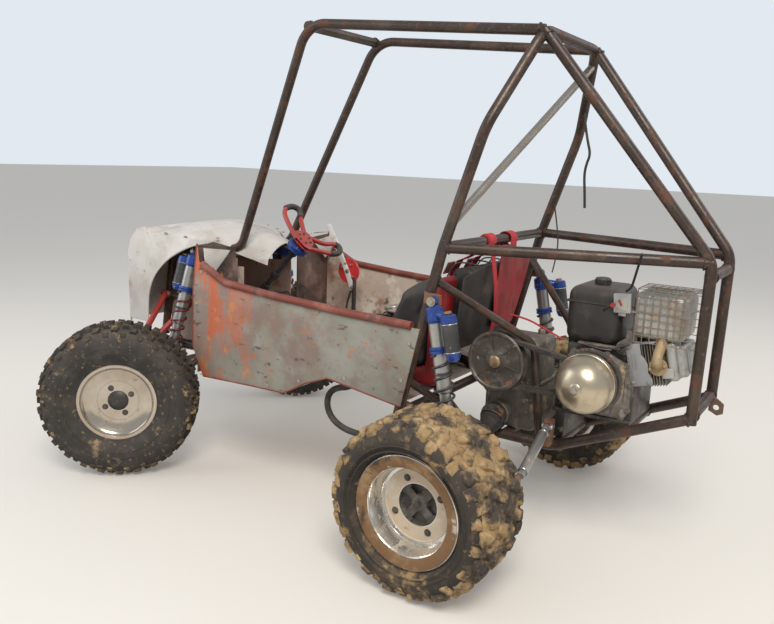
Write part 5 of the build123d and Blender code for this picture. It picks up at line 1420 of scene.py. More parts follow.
@dataclass
class Engine:
    """Engine with its tank, shroud, head, muffler and guard, and the gearbox ahead of it."""

    block: tuple[float, float] = (-415, -175)
    half: float = 118
    base: float = 438.3

    def crankcase(self) -> None:
        """Block with its cover flange, bolts, ribs, oil plug and feet."""
        bm = bmesh.new()
        middle, long = sum(self.block) / 2, self.block[1] - self.block[0]
        box(bm, at(middle, -6, (self.base + 600) / 2), (long, 2 * self.half - 18, 600 - self.base), 10, 3)
        box(bm, at(middle, 0, 628), (long - 40, 2 * self.half - 60, 54), 8)
        for rib in range(7):
            box(bm, at(self.block[0] + 26 + rib * 32, 106, 520), (5, 16, 118), 1.5)
        box(bm, at(-196, 0, 394), (30, 200, 87), 4)
        box(bm, at(middle, 0, self.base + 6), (long, 2 * self.half, 11), 2)
        finish_piece("crankcase", bm, DARK_CAST, replaces=["engine"])
        bm = bmesh.new()
        cover = [(-392, 452), (-210, 452), (-190, 480), (-190, 590), (-222, 640), (-330, 648), (-392, 620),
                 (-408, 560), (-408, 480)]
        plate(bm, at(0, 108, 0) @ Matrix.Rotation(math.pi / 2, 4, "X"), cover, 12, 3)
        for x, z in cover:
            spot = place(x * 0.95 - 15, 114, z * 0.95 + 27)
            drum(bm, basis(spot, LEFT), 9, -8, 1, 20)
            bolt(bm, spot + Vector((0, 1 * MM, 0)), LEFT, 5, 3, False)
        drum(bm, aimed(-385, 100, 470, Vector((-0.5, 1, 0.2))), 13, 0, 17, 16, bevel=2)
        finish_piece("side_cover", bm, CAST)

    def tank(self) -> None:
        """Black tank with its pinched seam and ribbed cap."""
        bm = bmesh.new()
        box(bm, at(-266, -10, 745), (168, 206, 178), 34, 6)
        finish_piece("tank_shell", bm, TANK_BLACK, replaces=["fuel_tank"], sharp=60)
        bm = bmesh.new()
        box(bm, at(-266, -10, 786), (172, 210, 5), 2)
        bevelled = [e for e in bm.edges if abs(e.verts[0].co.z - e.verts[1].co.z) > 0.001]
        bmesh.ops.bevel(bm, geom=bevelled, offset=30 * MM, segments=5, profile=0.5, affect="EDGES",
                        material=-1)
        finish_piece("tank_seam", bm, TANK_BLACK, sharp=60)
        bm = bmesh.new()
        cap = aimed(-262, 0, 832, UP)
        spun(bm, cap, [(0, 0), (0, 20), (4, 24), (18, 24), (22, 21), (24, 12), (24, 0)], 40)
        toothed(bm, cap, 20, (24, 0, 11), (2.4, 3.2, 12), 0.6)
        finish_piece("tank_cap", bm, BLACK)

    def carburettor(self) -> None:
        """Small metal box on the tank's rear left corner, with its knob and linkage."""
        bm = bmesh.new()
        box(bm, at(-356, 99, 800) @ Matrix.Rotation(0.08, 4, "Y"), (52, 14, 58), 4)
        box(bm, at(-356, 107.5, 800), (34, 3, 40), 1)
        box(bm, at(-356, 84, 775), (24, 24, 30), 3)
        finish_piece("control_box", bm, COVER_GREY)
        bm = bmesh.new()
        box(bm, at(-352, 110, 802) @ Matrix.Rotation(0.5, 4, "Y"), (6, 4, 20), 1)
        drum(bm, aimed(-330, 106, 792, LEFT), 7, 0, 6, 16, bevel=1)
        finish_piece("control_knobs", bm, RED)
        bm = bmesh.new()
        box(bm, at(-388, 40, 690), (36, 90, 60), 6)
        drum(bm, aimed(-372, 60, 668, LEFT), 22, -10, 46, 24, bevel=2)
        tube(bm, placed((-300, 104, 668), (-330, 112, 664), (-372, 112, 672), (-398, 108, 690)), 2.2)
        tube(bm, placed((-250, 110, 664), (-290, 114, 655), (-340, 112, 658)), 1.6)
        box(bm, at(-300, 100, 664), (130, 22, 7), 2)
        finish_piece("carburettor", bm, CAST)

    def head(self) -> None:
        """Leaning cylinder: grey shroud, fin stack, head block with its cover, and the exhaust elbow."""
        lean = math.radians(13)
        up = Vector((-math.cos(lean), 0, math.sin(lean)))
        frame_out = aimed(-390, 10, 618, up, LEFT)

        def spot(across: float, drop: float, along: float) -> Matrix:
            """Place in the cylinder's frame: across to the left, drop below its axis, along it."""
            return frame_out @ Matrix.Translation(Vector((across, drop, along)) * MM)

        bm = bmesh.new()
        for fin in range(11):
            box(bm, spot(0, 4, 22 + fin * 8), (184, 124, 2.6), 0.8, 1)
        box(bm, spot(0, 0, 66), (120, 96, 110), 6)
        finish_piece("cylinder_fins", bm, CAST, replaces=["cylinder_shroud"])
        bm = bmesh.new()
        outline = [(-64, 2), (-64, 44), (-30, 44), (-20, 52), (0, 60), (24, 58), (44, 68), (62, 66), (62, 2)]
        facing = frame_out @ Matrix.Translation((96 * MM, 0, 0)) @ Matrix.Rotation(math.pi / 2, 4, "Y")
        facing = facing @ Matrix.Rotation(math.pi / 2, 4, "Z")
        plate(bm, facing, outline, 4, 1.6)
        for across in (-92, 92):
            box(bm, spot(across, 0, 16), (8, 128, 30), 3)
        box(bm, spot(0, -62, 44), (186, 5, 84), 2)
        box(bm, spot(0, 0, 8), (186, 126, 14), 4)
        for drop, along in ((-54, 12), (50, 12), (52, 56)):
            bolt(bm, (spot(99, drop, along)).to_translation(), LEFT, 5, 3.4)
        for groove in range(3):
            tube(bm, [spot(98.6, -40 + 4 * groove, 8 + groove * 9).to_translation(),
                      spot(98.6, 10, 10 + groove * 9).to_translation()], 1.4, 2)
        finish_piece("fan_shroud", bm, SHROUD_GREY)
        bm = bmesh.new()
        box(bm, spot(4, 0, 124), (160, 112, 26), 7, 3)
        box(bm, spot(4, 2, 148), (138, 92, 30), 9, 3)
        box(bm, spot(4, 2, 166), (112, 70, 12), 5, 3)
        for across in (-58, 66):
            for drop in (-40, 44):
                bolt(bm, spot(across, drop, 138).to_translation(), up, 6, 7)
        box(bm, spot(88, 30, 112), (10, 30, 34), 3)
        finish_piece("head_cover", bm, COVER_GREY)
        bm = bmesh.new()
        elbow = placed((-476, 74, 628), (-477, 118, 630), (-475, 124, 662), (-479, 96, 694), (-480, 78, 712))
        tube(bm, elbow, 14.5, 3, 5)
        spun(bm, aimed(-476, 96, 628, LEFT), [(0, 0), (0, 25), (4, 27), (9, 25), (10, 0)], 32)
        for end in (-1, 1):
            bolt(bm, place(-476 + end * 19, 106, 628 - end * 8), LEFT, 5, 7)
        finish_piece("exhaust_elbow_cast", bm, ELBOW)

    def muffler(self) -> None:
        """Boxy muffler with seams and pressed ribs, and the wire guard round it."""
        bm = bmesh.new()
        lean = at(-462, 20, 771)
        box(bm, lean, (152, 166, 138), 24, 5)
        box(bm, lean @ slid(8), (156, 170, 4), 1.6)
        for rib in (-34, 34):
            box(bm, lean @ Matrix.Translation((rib * MM, 0, 0)), (16, 168, 122), 5)
        for rib in (-40, 0, 40):
            box(bm, lean @ Matrix.Translation((0, rib * MM, 70 * MM)), (110, 12, 4), 1.8)
        drum(bm, aimed(-480, 70, 688.3, UP), 17, 0, 16, 28)
        drum(bm, aimed(-400, -20, 800, Vector((1, 0, 0.2))), 13, 0, 16, 24)
        finish_piece("muffler_box", bm, MUFFLER, replaces=["muffler"], sharp=50)
        bm = bmesh.new()
        for k in range(9):
            x = -574 + k * 21.7
            tube(bm, placed((x, 0, 853), (x, 107.8, 850), (x, 107.8, 694), (x, 60, 690)), 1.3, 2, 2)
        for k in range(8):
            z = 694 + k * 22.3
            tube(bm, placed((-574, 0, z), (-575, 107.8, z), (-399, 107.8, z), (-398, 60, z)), 1.3, 2, 2)
        for y in (0, 28, 56, 84):
            tube(bm, placed((-574, y, 853), (-400, y, 853)), 1.3, 2, 2)
            tube(bm, placed((-574, y, 694), (-575, y, 772), (-574, y, 853)), 1.3, 2, 2)
        finish_piece("muffler_wires", bm, GUARD, replaces=["muffler_guard"])

    def gearbox(self) -> None:
        """Gearbox casing with its ribs, cover flange, bolts and output cups."""
        bm = bmesh.new()
        box(bm, at(-28, 0, 424), (176, 232, 152), 14, 3)
        box(bm, at(-36, 29, 566), (148, 174, 146), 14, 3)
        for rib in range(5):
            box(bm, at(-96 + rib * 31, 30, 566), (5, 178, 132), 1.5)
        for rib in range(4):
            box(bm, at(-100 + rib * 48, 0, 424), (6, 236, 128), 1.5)
        box(bm, at(-28, 0, 498), (180, 234, 10), 2)
        drum(bm, aimed(0, 0, 397, LEFT), 42, -150, 150, 40, bevel=3)
        drum(bm, aimed(-18, 0, 588, LEFT), 34, 100, 117, 32, bevel=3)
        finish_piece("gearbox_casing", bm, CAST, replaces=["gearbox"])
        bm = bmesh.new()
        for number in range(9):
            x = -108 + number * 20
            for y in (-112, 112):
                bolt(bm, place(x, y, 503), UP, 5, 5, False)
        drum(bm, aimed(-60, -40, 639, UP), 12, 0, 14, 6, bevel=1)
        finish_piece("gearbox_bolts", bm, BOLT)

    def build(self) -> None:
        """Make the whole drive unit but for the belt drive."""
        self.crankcase()
        self.tank()
        self.carburettor()
        self.head()
        self.muffler()
        self.gearbox()


ELBOW = Finish("tan_elbow", (0.42, 0.30, 0.16), 0.62, 0.3, (
    Patch((0.56, 0.46, 0.30), 24, 0.30, 0.10, 0.6, 0.3),
    Patch((0.20, 0.12, 0.07), 34, 0.22, 0.07, 0.8)), dust=0.2)
MUFFLER = Finish("muffler_silver", (0.46, 0.44, 0.40), 0.36, 0.8, (
    Patch((0.30, 0.26, 0.21), 14, 0.32, 0.12, 0.5, 0.5),
    Patch((0.40, 0.26, 0.15), 26, 0.16, 0.06, 0.7, 0.2)), dust=0.2)
GUARD = Finish("guard_wire", (0.30, 0.27, 0.23), 0.42, 0.7, (
    Patch(RUST, 60, 0.30, 0.08, 0.8),), dust=0.15)


def side_frame(y: float) -> Matrix:
    """Upright frame along the buggy at y: local x is ahead, local y is up, local z points right."""
    return at(0, y, 0) @ Matrix.Rotation(math.pi / 2, 4, "X")


def puffed(piece: Piece, voxel: float, cap: float) -> Piece:
    """Fill a closed pad as stuffing does: remesh it, blow it up as cloth and keep each point near its place.

    Args:
        piece: The pad, slightly smaller than it ends.
        voxel: Size of the remesh in millimetres.
        cap: Furthest that a point may move, in millimetres.

    Returns:
        The same piece with its new mesh.
    """
    material = piece.data.materials[0]
    remesh = piece.modifiers.new("remesh", "REMESH")
    remesh.mode = "VOXEL"
    remesh.voxel_size = voxel * MM
    bake_modifiers(piece)
    rest = [v.co.copy() for v in piece.data.vertices]
    cloth = piece.modifiers.new("stuffing", "CLOTH")
    cloth.settings.use_pressure = True
    cloth.settings.uniform_pressure_force = 4
    cloth.settings.tension_stiffness = cloth.settings.compression_stiffness = 20
    cloth.settings.effector_weights.gravity = 0
    for step in range(1, 15):
        bpy.context.scene.frame_set(step)
    graph = bpy.context.evaluated_depsgraph_get()
    grown = piece.evaluated_get(graph).data
    moved = [v.co.copy() for v in grown.vertices]
    piece.modifiers.clear()
    for vertex, start, end in zip(piece.data.vertices, rest, moved):
        step_out = end - start
        if step_out.length > cap * MM:
            step_out = step_out * (cap * MM / step_out.length)
        vertex.co = start + step_out
    bpy.context.scene.frame_set(1)
    for polygon in piece.data.polygons:
        polygon.use_smooth = True
    piece.data.materials.clear()
    piece.data.materials.append(material)
    rounded(piece)
    return piece


def bake_modifiers(piece: Piece) -> None:
    """Apply a piece's modifiers to its mesh."""
    graph = bpy.context.evaluated_depsgraph_get()
    graph.update()
    mesh = bpy.data.meshes.new_from_object(piece.evaluated_get(graph))
    piece.modifiers.clear()
    piece.data = mesh


@dataclass
class Seat:
    """Bucket seat: back and base cushions, red bolsters, black wings, and the shoulder straps."""

    half: float = 152
    outer: float = 248

    def pad(self, name: str, outline: Sequence[tuple[float, float]], y: float, width: float, finish: Finish,
            shrink: float, cap: float) -> Piece:
        """One stuffed pad from its side outline.

        Args:
            name: Its name.
            outline: Its side view, as x and z.
            y: Its middle across the buggy.
            width: Its width.
            finish: Its covering.
            shrink: How much smaller it starts than it ends, in millimetres.
            cap: How far the stuffing may push it out.

        Returns:
            The pad.
        """
        bm = bmesh.new()
        middle = Vector((sum(p[0] for p in outline), sum(p[1] for p in outline))) / len(outline)
        small = []
        for x, z in outline:
            away = Vector((x, z)) - middle
            spot = middle + away * max(0.2, (away.length - shrink * 1.3) / away.length)
            small.append((spot.x, spot.y))
        plate(bm, side_frame(y), small, width - 2 * shrink, 14)
        piece = finish_piece(name, bm, finish, sharp=70)
        return puffed(piece, 8, cap)

    def build(self) -> None:
        """Make pads, piping and straps."""
        back = [(280, 545), (280, 640), (182, 862), (110, 858), (156, 565)]
        base = [(290, 512), (575, 512), (586, 590), (563, 628), (290, 608)]
        wing = [(194, 850), (216, 822), (268, 808), (324, 778), (374, 676), (443, 602), (458, 522),
                (230, 522), (228, 762)]
        front = [(222, 760), (222, 522), (192, 522)]
        bolsters = {"left": [(150, 838), (186, 838), (222, 760), (224, 518), (296, 512), (292, 458),
                             (180, 458), (168, 577)],
                    "right": [(100, 856), (188, 856), *front, (138, 577)]}
        pads = [self.pad("seat_back_pad", back, 0, 2 * self.half, VINYL, 6, 9),
                self.pad("seat_base_pad", base, 0, 2 * self.half, VINYL, 6, 9)]
        for name, side in SIDES:
            y = side * (self.half + self.outer) / 2
            width = self.outer - self.half - 4
            pads.append(self.pad(f"seat_wing_{name}", wing, y, width, VINYL, 6, 8))
            pads.append(self.pad(f"seat_bolster_{name}", bolsters[name], y, width, RED_VINYL, 6, 8))
        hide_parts("seat_cushions")
        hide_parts("seat_wings")
        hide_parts("seat_bolsters")
        bm = bmesh.new()
        for y in (-self.half + 10, -50, 50, self.half - 10):
            tube(bm, placed((284, y, 560), (285, y, 640), (240, y, 748), (190, y, 861), (150, y, 873),
                            (104, y, 867)), 2.6, 3, 2)
            tube(bm, placed((300, y, 622), (430, y, 634), (560, y, 634), (590, y, 596), (586, y, 540)), 2.6,
                 3, 2)
        finish_piece("seat_piping", bm, BLACK)
        self.shell()
        self.straps()

    def shell(self) -> None:
        """Arched shell behind the back cushion and the red cover that hangs over its far side."""
        bm = bmesh.new()
        rows, columns = 12, 24
        bmesh.ops.create_grid(bm, x_segments=columns, y_segments=rows, size=1)
        for vert in bm.verts:
            across, up = vert.co.x, (vert.co.y + 1) / 2
            y = 20 + across * 205
            top = 864 - 30 * abs(across) ** 2.2
            z = 600 + (top - 600) * up
            lean = 97 + 40 * (1 - up) + 14 * across ** 2 - 9 * math.cos(up * 1.57)
            vert.co = place(lean - 8, y, z)
        piece = finish_piece("seat_shell", bm, SHELL, sharp=60)
        sheeted(piece, 3, -1)
        bm = bmesh.new()
        bmesh.ops.create_grid(bm, x_segments=24, y_segments=18, size=1)
        for vert in bm.verts:
            across, up = vert.co.x, (vert.co.y + 1) / 2
            y = 15 - (across + 1) * (90 + 26.5 * up)
            fold = 4 * math.sin(across * 9 + up * 3) * (1 - 0.7 * up)
            far = (across + 1) / 2
            vert.co = place(76 + 28 * (1 - up) + fold, y, 640 + (285 - 62 * far ** 2) * up)
        piece = finish_piece("seat_cover", bm, RED_VINYL, sharp=70)
        sheeted(piece, 2.2)

    def ribbon(self, bm: Shape, path: Sequence[tuple[float, float]], y: float, width: float,
               drift: float = 0.0, thick: float = 2.6) -> None:
        """Add flat webbing that follows a side-view path.

        Args:
            bm: Mesh to add to.
            path: Its line in side view, as x and z.
            y: Where its middle starts across the buggy.
            width: Its width.
            drift: How far it moves sideways from start to end.
            thick: Its thickness.
        """
        line = [Vector(p) for p in path]
        left, right = [], []
        for number, spot in enumerate(line):
            ahead = (line[min(number + 1, len(line) - 1)] - line[max(number - 1, 0)]).normalized()
            across = Vector((-ahead.y, ahead.x)) * thick / 2
            left.append(spot + across)
            right.append(spot - across)
        loops = []
        for side in (-1, 1):
            ring_verts = []
            for number, spot in enumerate(left + right[::-1]):
                along = min(number, 2 * len(line) - 1 - number) / (len(line) - 1)
                ring_verts.append(bm.verts.new(place(spot.x, y + drift * along + side * width / 2, spot.y)))
            edges = [bm.edges.new(pair) for pair in zip(ring_verts, ring_verts[1:] + ring_verts[:1])]
            loops.append(edges)
        bmesh.ops.bridge_loops(bm, edges=loops[0] + loops[1])
        for edges in loops:
            bmesh.ops.contextual_create(bm, geom=edges)

    def straps(self) -> None:
        """Shoulder straps over the harness bar, down the seat's front and hanging behind it."""
        bar_x, bar_z = 102, 941
        bm = bmesh.new()
        for side in BOTH:
            wrap = [(bar_x + 19.2 * math.cos(a), bar_z + 19.2 * math.sin(a))
                    for a in [math.radians(d) for d in range(180, -31, -15)]]
            hang = [(84, 640), (70, 720), (70, 800), (80, 890)] if side > 0 else [(84, 886)]
            hang.append((82.6, 930))
            self.ribbon(bm, hang[::-1], side * 85, 26 if side > 0 else 46, -44 if side > 0 else 0)
            self.ribbon(bm, hang[-1:] + wrap[1:] + [(114, 918), (104, 912), (94, 916)], side * 85, 46)
            over = [(bar_x + 22.4 * math.cos(a), bar_z + 22.4 * math.sin(a))
                    for a in [math.radians(d) for d in range(200, 20, -15)]]
            front = [(132, 928), (148, 894), (176, 878), (204, 866), (226, 826), (250, 760), (288, 690),
                     (304, 652), (330, 641), (400, 646), (450, 652)]
            self.ribbon(bm, over + front, side * 84, 46, -side * 26)
            box(bm, at(118, side * 85, 912) @ Matrix.Rotation(0.5, 4, "Y"), (7, 56, 30), 2.5)
        finish_piece("shoulder_straps", bm, WEBBING, replaces=["harness_straps"], sharp=45)
        bm = bmesh.new()
        for side in BOTH:
            box(bm, at(241, side * 72, 838) @ Matrix.Rotation(math.radians(68), 4, "Y"),
                (44, 54, 5), 2)
            box(bm, at(455, side * 52, 656), (46, 50, 9), 3)
        drum(bm, aimed(500, 0, 655, Vector((0.2, 0, 1))), 34, -6, 8, 32, bevel=3)
        finish_piece("strap_buckles", bm, BOLT)
        bm = bmesh.new()
        for side in BOTH:
            self.ribbon(bm, [(480, 650), (500, 646), (470, 640)], side * 40, 44)
            lap = placed((500, side * 30, 650), (470, side * 110, 648), (420, side * 150, 660))
            tube(bm, lap, 3, 3, 2)
        finish_piece("lap_straps", bm, BLACK_WEBBING)


@dataclass
class Steering:
    """Yoke with its plate and grips, quick-release hub, column and the clamp on it."""

    top: tuple[float, float] = (960, 831)
    rack: tuple[float, float] = (1445.54, 315.5)
    reach: float = 45

    def down(self) -> Vector:
        """Direction down the column."""
        return (place(self.rack[0], 0, self.rack[1]) - place(self.top[0], 0, self.top[1])).normalized()

    def yoke_spot(self, left: float, up: float, out: float = 0.0) -> Vector:
        """Point in the yoke's plane, as left and up of its hub; out is towards the driver."""
        down = self.down()
        above = Vector((-down.z, 0, down.x))
        return place(self.top[0], 0, self.top[1]) - down * (self.reach + out) * MM + (
            Vector((0, left, 0)) + above * up) * MM

    def yoke(self) -> None:
        """Red tubes and plate, and the black grips on the two loops."""
        arms = (((36, 9), (17, 104), (-16, 162), (-84, 180), (-115, 153), (-69, 104), (-30, 31)),
                ((-23, 22), (-84, -32), (-161, -35), (-184, -53), (-158, -90), (-84, -81), (14, -42)))
        bm = bmesh.new()
        down = self.down()
        above = Vector((-down.z, 0, down.x))
        facing = basis(self.yoke_spot(0, 0), LEFT.cross(above), LEFT)
        for arm in arms:
            tube(bm, [self.yoke_spot(*spot) for spot in arm], 9.2, 3, 4)
        for level in (-7, 7):
            plate(bm, facing @ slid(level),
                  [(42, 10), (20, 44), (-28, 42), (-46, 18), (-30, -30), (14, -56), (34, -38)], 3, 1)
        finish_piece("yoke_frame", bm, RED, "steering_wheel", ["steering_yoke"])
        bm = bmesh.new()
        for arm in arms:
            grip = [self.yoke_spot(*spot) for spot in arm[2:6]]
            tube(bm, [grip[0].lerp(grip[1], 0.25), grip[0].lerp(grip[1], 0.8), grip[1].lerp(grip[2], 0.5),
                      grip[2].lerp(grip[3], 0.2), grip[2].lerp(grip[3], 0.85)], 12, 3, 5)
        for k in range(6):
            turn = TURN * k / 6
            drum(bm, basis(self.yoke_spot(26 * math.cos(turn), 26 * math.sin(turn), 8), -down), 4, 0, 5, 12,
                 bevel=0.8)
        finish_piece("yoke_grips", bm, RUBBER, "steering_wheel")

    def column(self) -> None:
        """Blue hub disc, black column tube, its clamp and a universal joint."""
        down = self.down()
        axis = aimed(self.top[0], 0, self.top[1], down)
        length = (place(self.rack[0], 0, self.rack[1]) - place(self.top[0], 0, self.top[1])).length / MM
        bm = bmesh.new()
        spun(bm, axis, [(-22, 0), (-22, 30), (-20, 36), (-16, 42), (-4, 43), (0, 40), (2, 43), (7, 42),
                        (8, 22), (8, 0)], 56)
        toothed(bm, axis, 24, (42.4, 0, -10), (2, 4, 10), 0.6)
        finish_piece("hub_disc", bm, SHOCK_BLUE, "steering_wheel")
        bm = bmesh.new()
        spun(bm, axis, [(-38, 0), (-38, 22), (-22, 24), (-22, 0)], 36)
        spun(bm, axis, [(8, 0), (8, 20), (40, 17), (44, 11), (length - 43, 11), (length - 43, 0)], 36)
        for along in (150, length - 96):
            spun(bm, axis, [(along, 0), (along, 16), (along + 4, 18), (along + 26, 18), (along + 30, 16),
                            (along + 30, 0)],
                 24)
        finish_piece("column_tube", bm, BLACK, "steering_wheel", ["steering_column"])

    def build(self) -> None:
        """Make yoke and column."""
        self.yoke()
        self.column()


@dataclass
class Controls:
    """Hand lever on its toothed quadrant, and the pedals."""

    y: float = -250

    def lever(self) -> None:
        """Red quadrant with pins, white bent lever, post."""
        bm = bmesh.new()
        axis = aimed(888, self.y - 4, 722, LEFT)
        spun(bm, axis, [(0, 0), (0, 51), (1, 52), (7, 52), (8, 51), (8, 0)], 56)
        toothed(bm, axis, 22, (51.4, 0, 4), (3, 4, 7), 0.8, start=0.1, sweep=TURN / 2)
        finish_piece("quadrant", bm, BRIGHT_RED, replaces=["hand_lever"])
        bm = bmesh.new()
        outline = [(985, 912), (1006, 904), (962, 826), (906, 722), (872, 642), (848, 652), (884, 730),
                   (940, 836)]
        plate(bm, side_frame(self.y + 8), outline, 7.6, 2.5)
        finish_piece("lever_bar", bm, WHITE_PLASTIC)
        bm = bmesh.new()
        for x, z in ((872, 748), (900, 752), (918, 736), (888, 722), (862, 700)):
            drum(bm, aimed(x, self.y + 4, z, LEFT), 4.5, 0, 11, 12, bevel=1)
        bolt(bm, place(888, self.y + 11.8, 722), LEFT, 8, 6)
        bolt(bm, place(862, self.y + 11.8, 656), LEFT, 7, 6)
        finish_piece("quadrant_pins", bm, BOLT)
        bm = bmesh.new()
        tube(bm, placed((859, self.y, 383.4), (859, self.y, 692)), 9, 2, 4)
        drum(bm, aimed(859, self.y, 383.4, UP), 20, 0, 5, 24, bevel=1)
        tube(bm, placed((846, self.y + 20, 690), (842, self.y + 18, 560), (870, self.y + 30, 430),
                        (900, self.y + 60, 388)), 6, 3, 3)
        finish_piece("lever_post", bm, BLACK)

    def pedals(self) -> None:
        """Two floor pedals with ribbed pads."""
        bm = bmesh.new()
        for side in BOTH:
            y = side * 82
            box(bm, at(1462, y, 390), (30, 40, 16), 2)
            tube(bm, placed((1462, y, 392), (1468, y, 525)), 6, 2, 3)
            box(bm, at(1459, y, 525), (8, 60, 70), 2)
            for rib in range(5):
                box(bm, at(1454.6, y, 501 + rib * 12), (3, 52, 4), 1, 1)
        finish_piece("floor_pedals", bm, DARK_CAST, replaces=["pedals"])

    def build(self) -> None:
        """Make lever and pedals."""
        self.lever()
        self.pedals()


@dataclass
class Nose:
    """Bonnet sheet that rolls over into the nose, side cheeks, arch sheets and small fittings."""

    half: float = 300
    front: float = 1604
    bend: float = 112

    STATIONS = ((1010, 846, 118, 62), (1150, 893, 150, 72), (1280, 911, 262, 55), (1400, 909, 300, 42),
                (1480, 893, 300, 34))

    def line(self, share: float) -> tuple[float, float, float, float]:
        """Where the bonnet's middle runs, from the cowl (0) to the nose's lower edge (1).

        Args:
            share: Place along it.

        Returns:
            x, z, half width and the drop at the side.
        """
        if share < 0.6:
            spot = share / 0.6 * (len(self.STATIONS) - 1)
            low = min(int(spot), len(self.STATIONS) - 2)
            part = spot - low
            first, last = self.STATIONS[low], self.STATIONS[low + 1]
            return tuple(a + (b - a) * part for a, b in zip(first, last))
        if share < 0.82:
            turn = (share - 0.6) / 0.22 * math.pi / 2
            drop = 34 * math.cos(turn) ** 2 * 0.3
            return (self.front - self.bend + self.bend * math.sin(turn) - 12 * math.cos(turn),
                    893 - self.bend + self.bend * math.cos(turn), self.half, drop)
        part = (share - 0.82) / 0.18
        return self.front - 8 * part, 781 - (781 - 500) * part, self.half, 0

    def sheet(self) -> None:
        """The bonnet and nose as one smooth sheet with a turned-down lip."""
        bm = bmesh.new()
        rows, columns = 40, 24
        bmesh.ops.create_grid(bm, x_segments=rows, y_segments=columns, size=1)
        for vert in bm.verts:
            x, z, half, drop = self.line((vert.co.x + 1) / 2)
            across = vert.co.y * 1.06
            edge = min(1.0, abs(across))
            lip = max(0.0, abs(across) - 1) * 300
            wave = 1.6 * math.sin(x * 0.021 + 1) * math.cos(across * 5)
            spot = place(x, math.copysign(edge, across) * half,
                         z - drop * edge ** 2 - lip + wave * (1 - edge))
            vert.co = spot
        piece = finish_piece("bonnet_sheet", bm, BONNET_WHITE, replaces=["bonnet"],
                             sharp=50)
        sheeted(piece, 2.6, -1)
        bm = bmesh.new()
        for side in BOTH:
            for x, y, z in ((1200, 193, 859), (1300, 268, 861), (1380, 294, 869)):
                bolt(bm, place(x, side * y, z), UP, 6, 3.5)
            for z in (540, 640, 740):
                bolt(bm, place(1600, side * 250, z), AHEAD, 6, 3)
        finish_piece("bonnet_bolts", bm, BOLT)

    def cheeks(self) -> None:
        """Side sheets with a rolled edge along each wheel arch."""
        outline = [(1400, 866), (1480, 858), (1492, 888), (1540, 878), (1583, 834), (1602, 781), (1594, 502),
                   (1489, 502), (1486, 590), (1478, 640), (1428, 717), (1400, 745)]
        bm = bmesh.new()
        for side in BOTH:
            plate(bm, side_frame(side * 298.5), outline, 2.6, 0.8)
            tube(bm, [place(x, side * 299, z) for x, z in
                      ((1490, 502), (1488, 560), (1482, 622), (1458, 680), (1428, 717), (1384, 757),
                       (1340, 786), (1270, 820), (1208, 842), (1130, 856))], 4, 3, 3)
        finish_piece("nose_cheeks", bm, BONNET_WHITE)
        bm = bmesh.new()
        for side in BOTH:
            upper = ((1112, 300, 862), (1150, 152, 820), (1210, 203, 842), (1280, 262, 854),
                     (1340, 282, 861), (1400, 298, 866))
            lower = ((1104, 386, 858), (1130, 299, 856), (1208, 299, 842), (1270, 299, 820),
                     (1340, 299, 786), (1400, 299, 745))
            rails = [[bm.verts.new(place(x, side * y, z)) for x, y, z in line] for line in (upper, lower)]
            edges = [[bm.edges.new(pair) for pair in zip(rail, rail[1:])] for rail in rails]
            bmesh.ops.bridge_loops(bm, edges=edges[0] + edges[1])
        piece = finish_piece("arch_sheets", bm, BONNET_WHITE, sharp=30)
        sheeted(piece, 2.4)

    def build(self) -> None:
        """Make the whole nose."""
        self.sheet()
        self.cheeks()


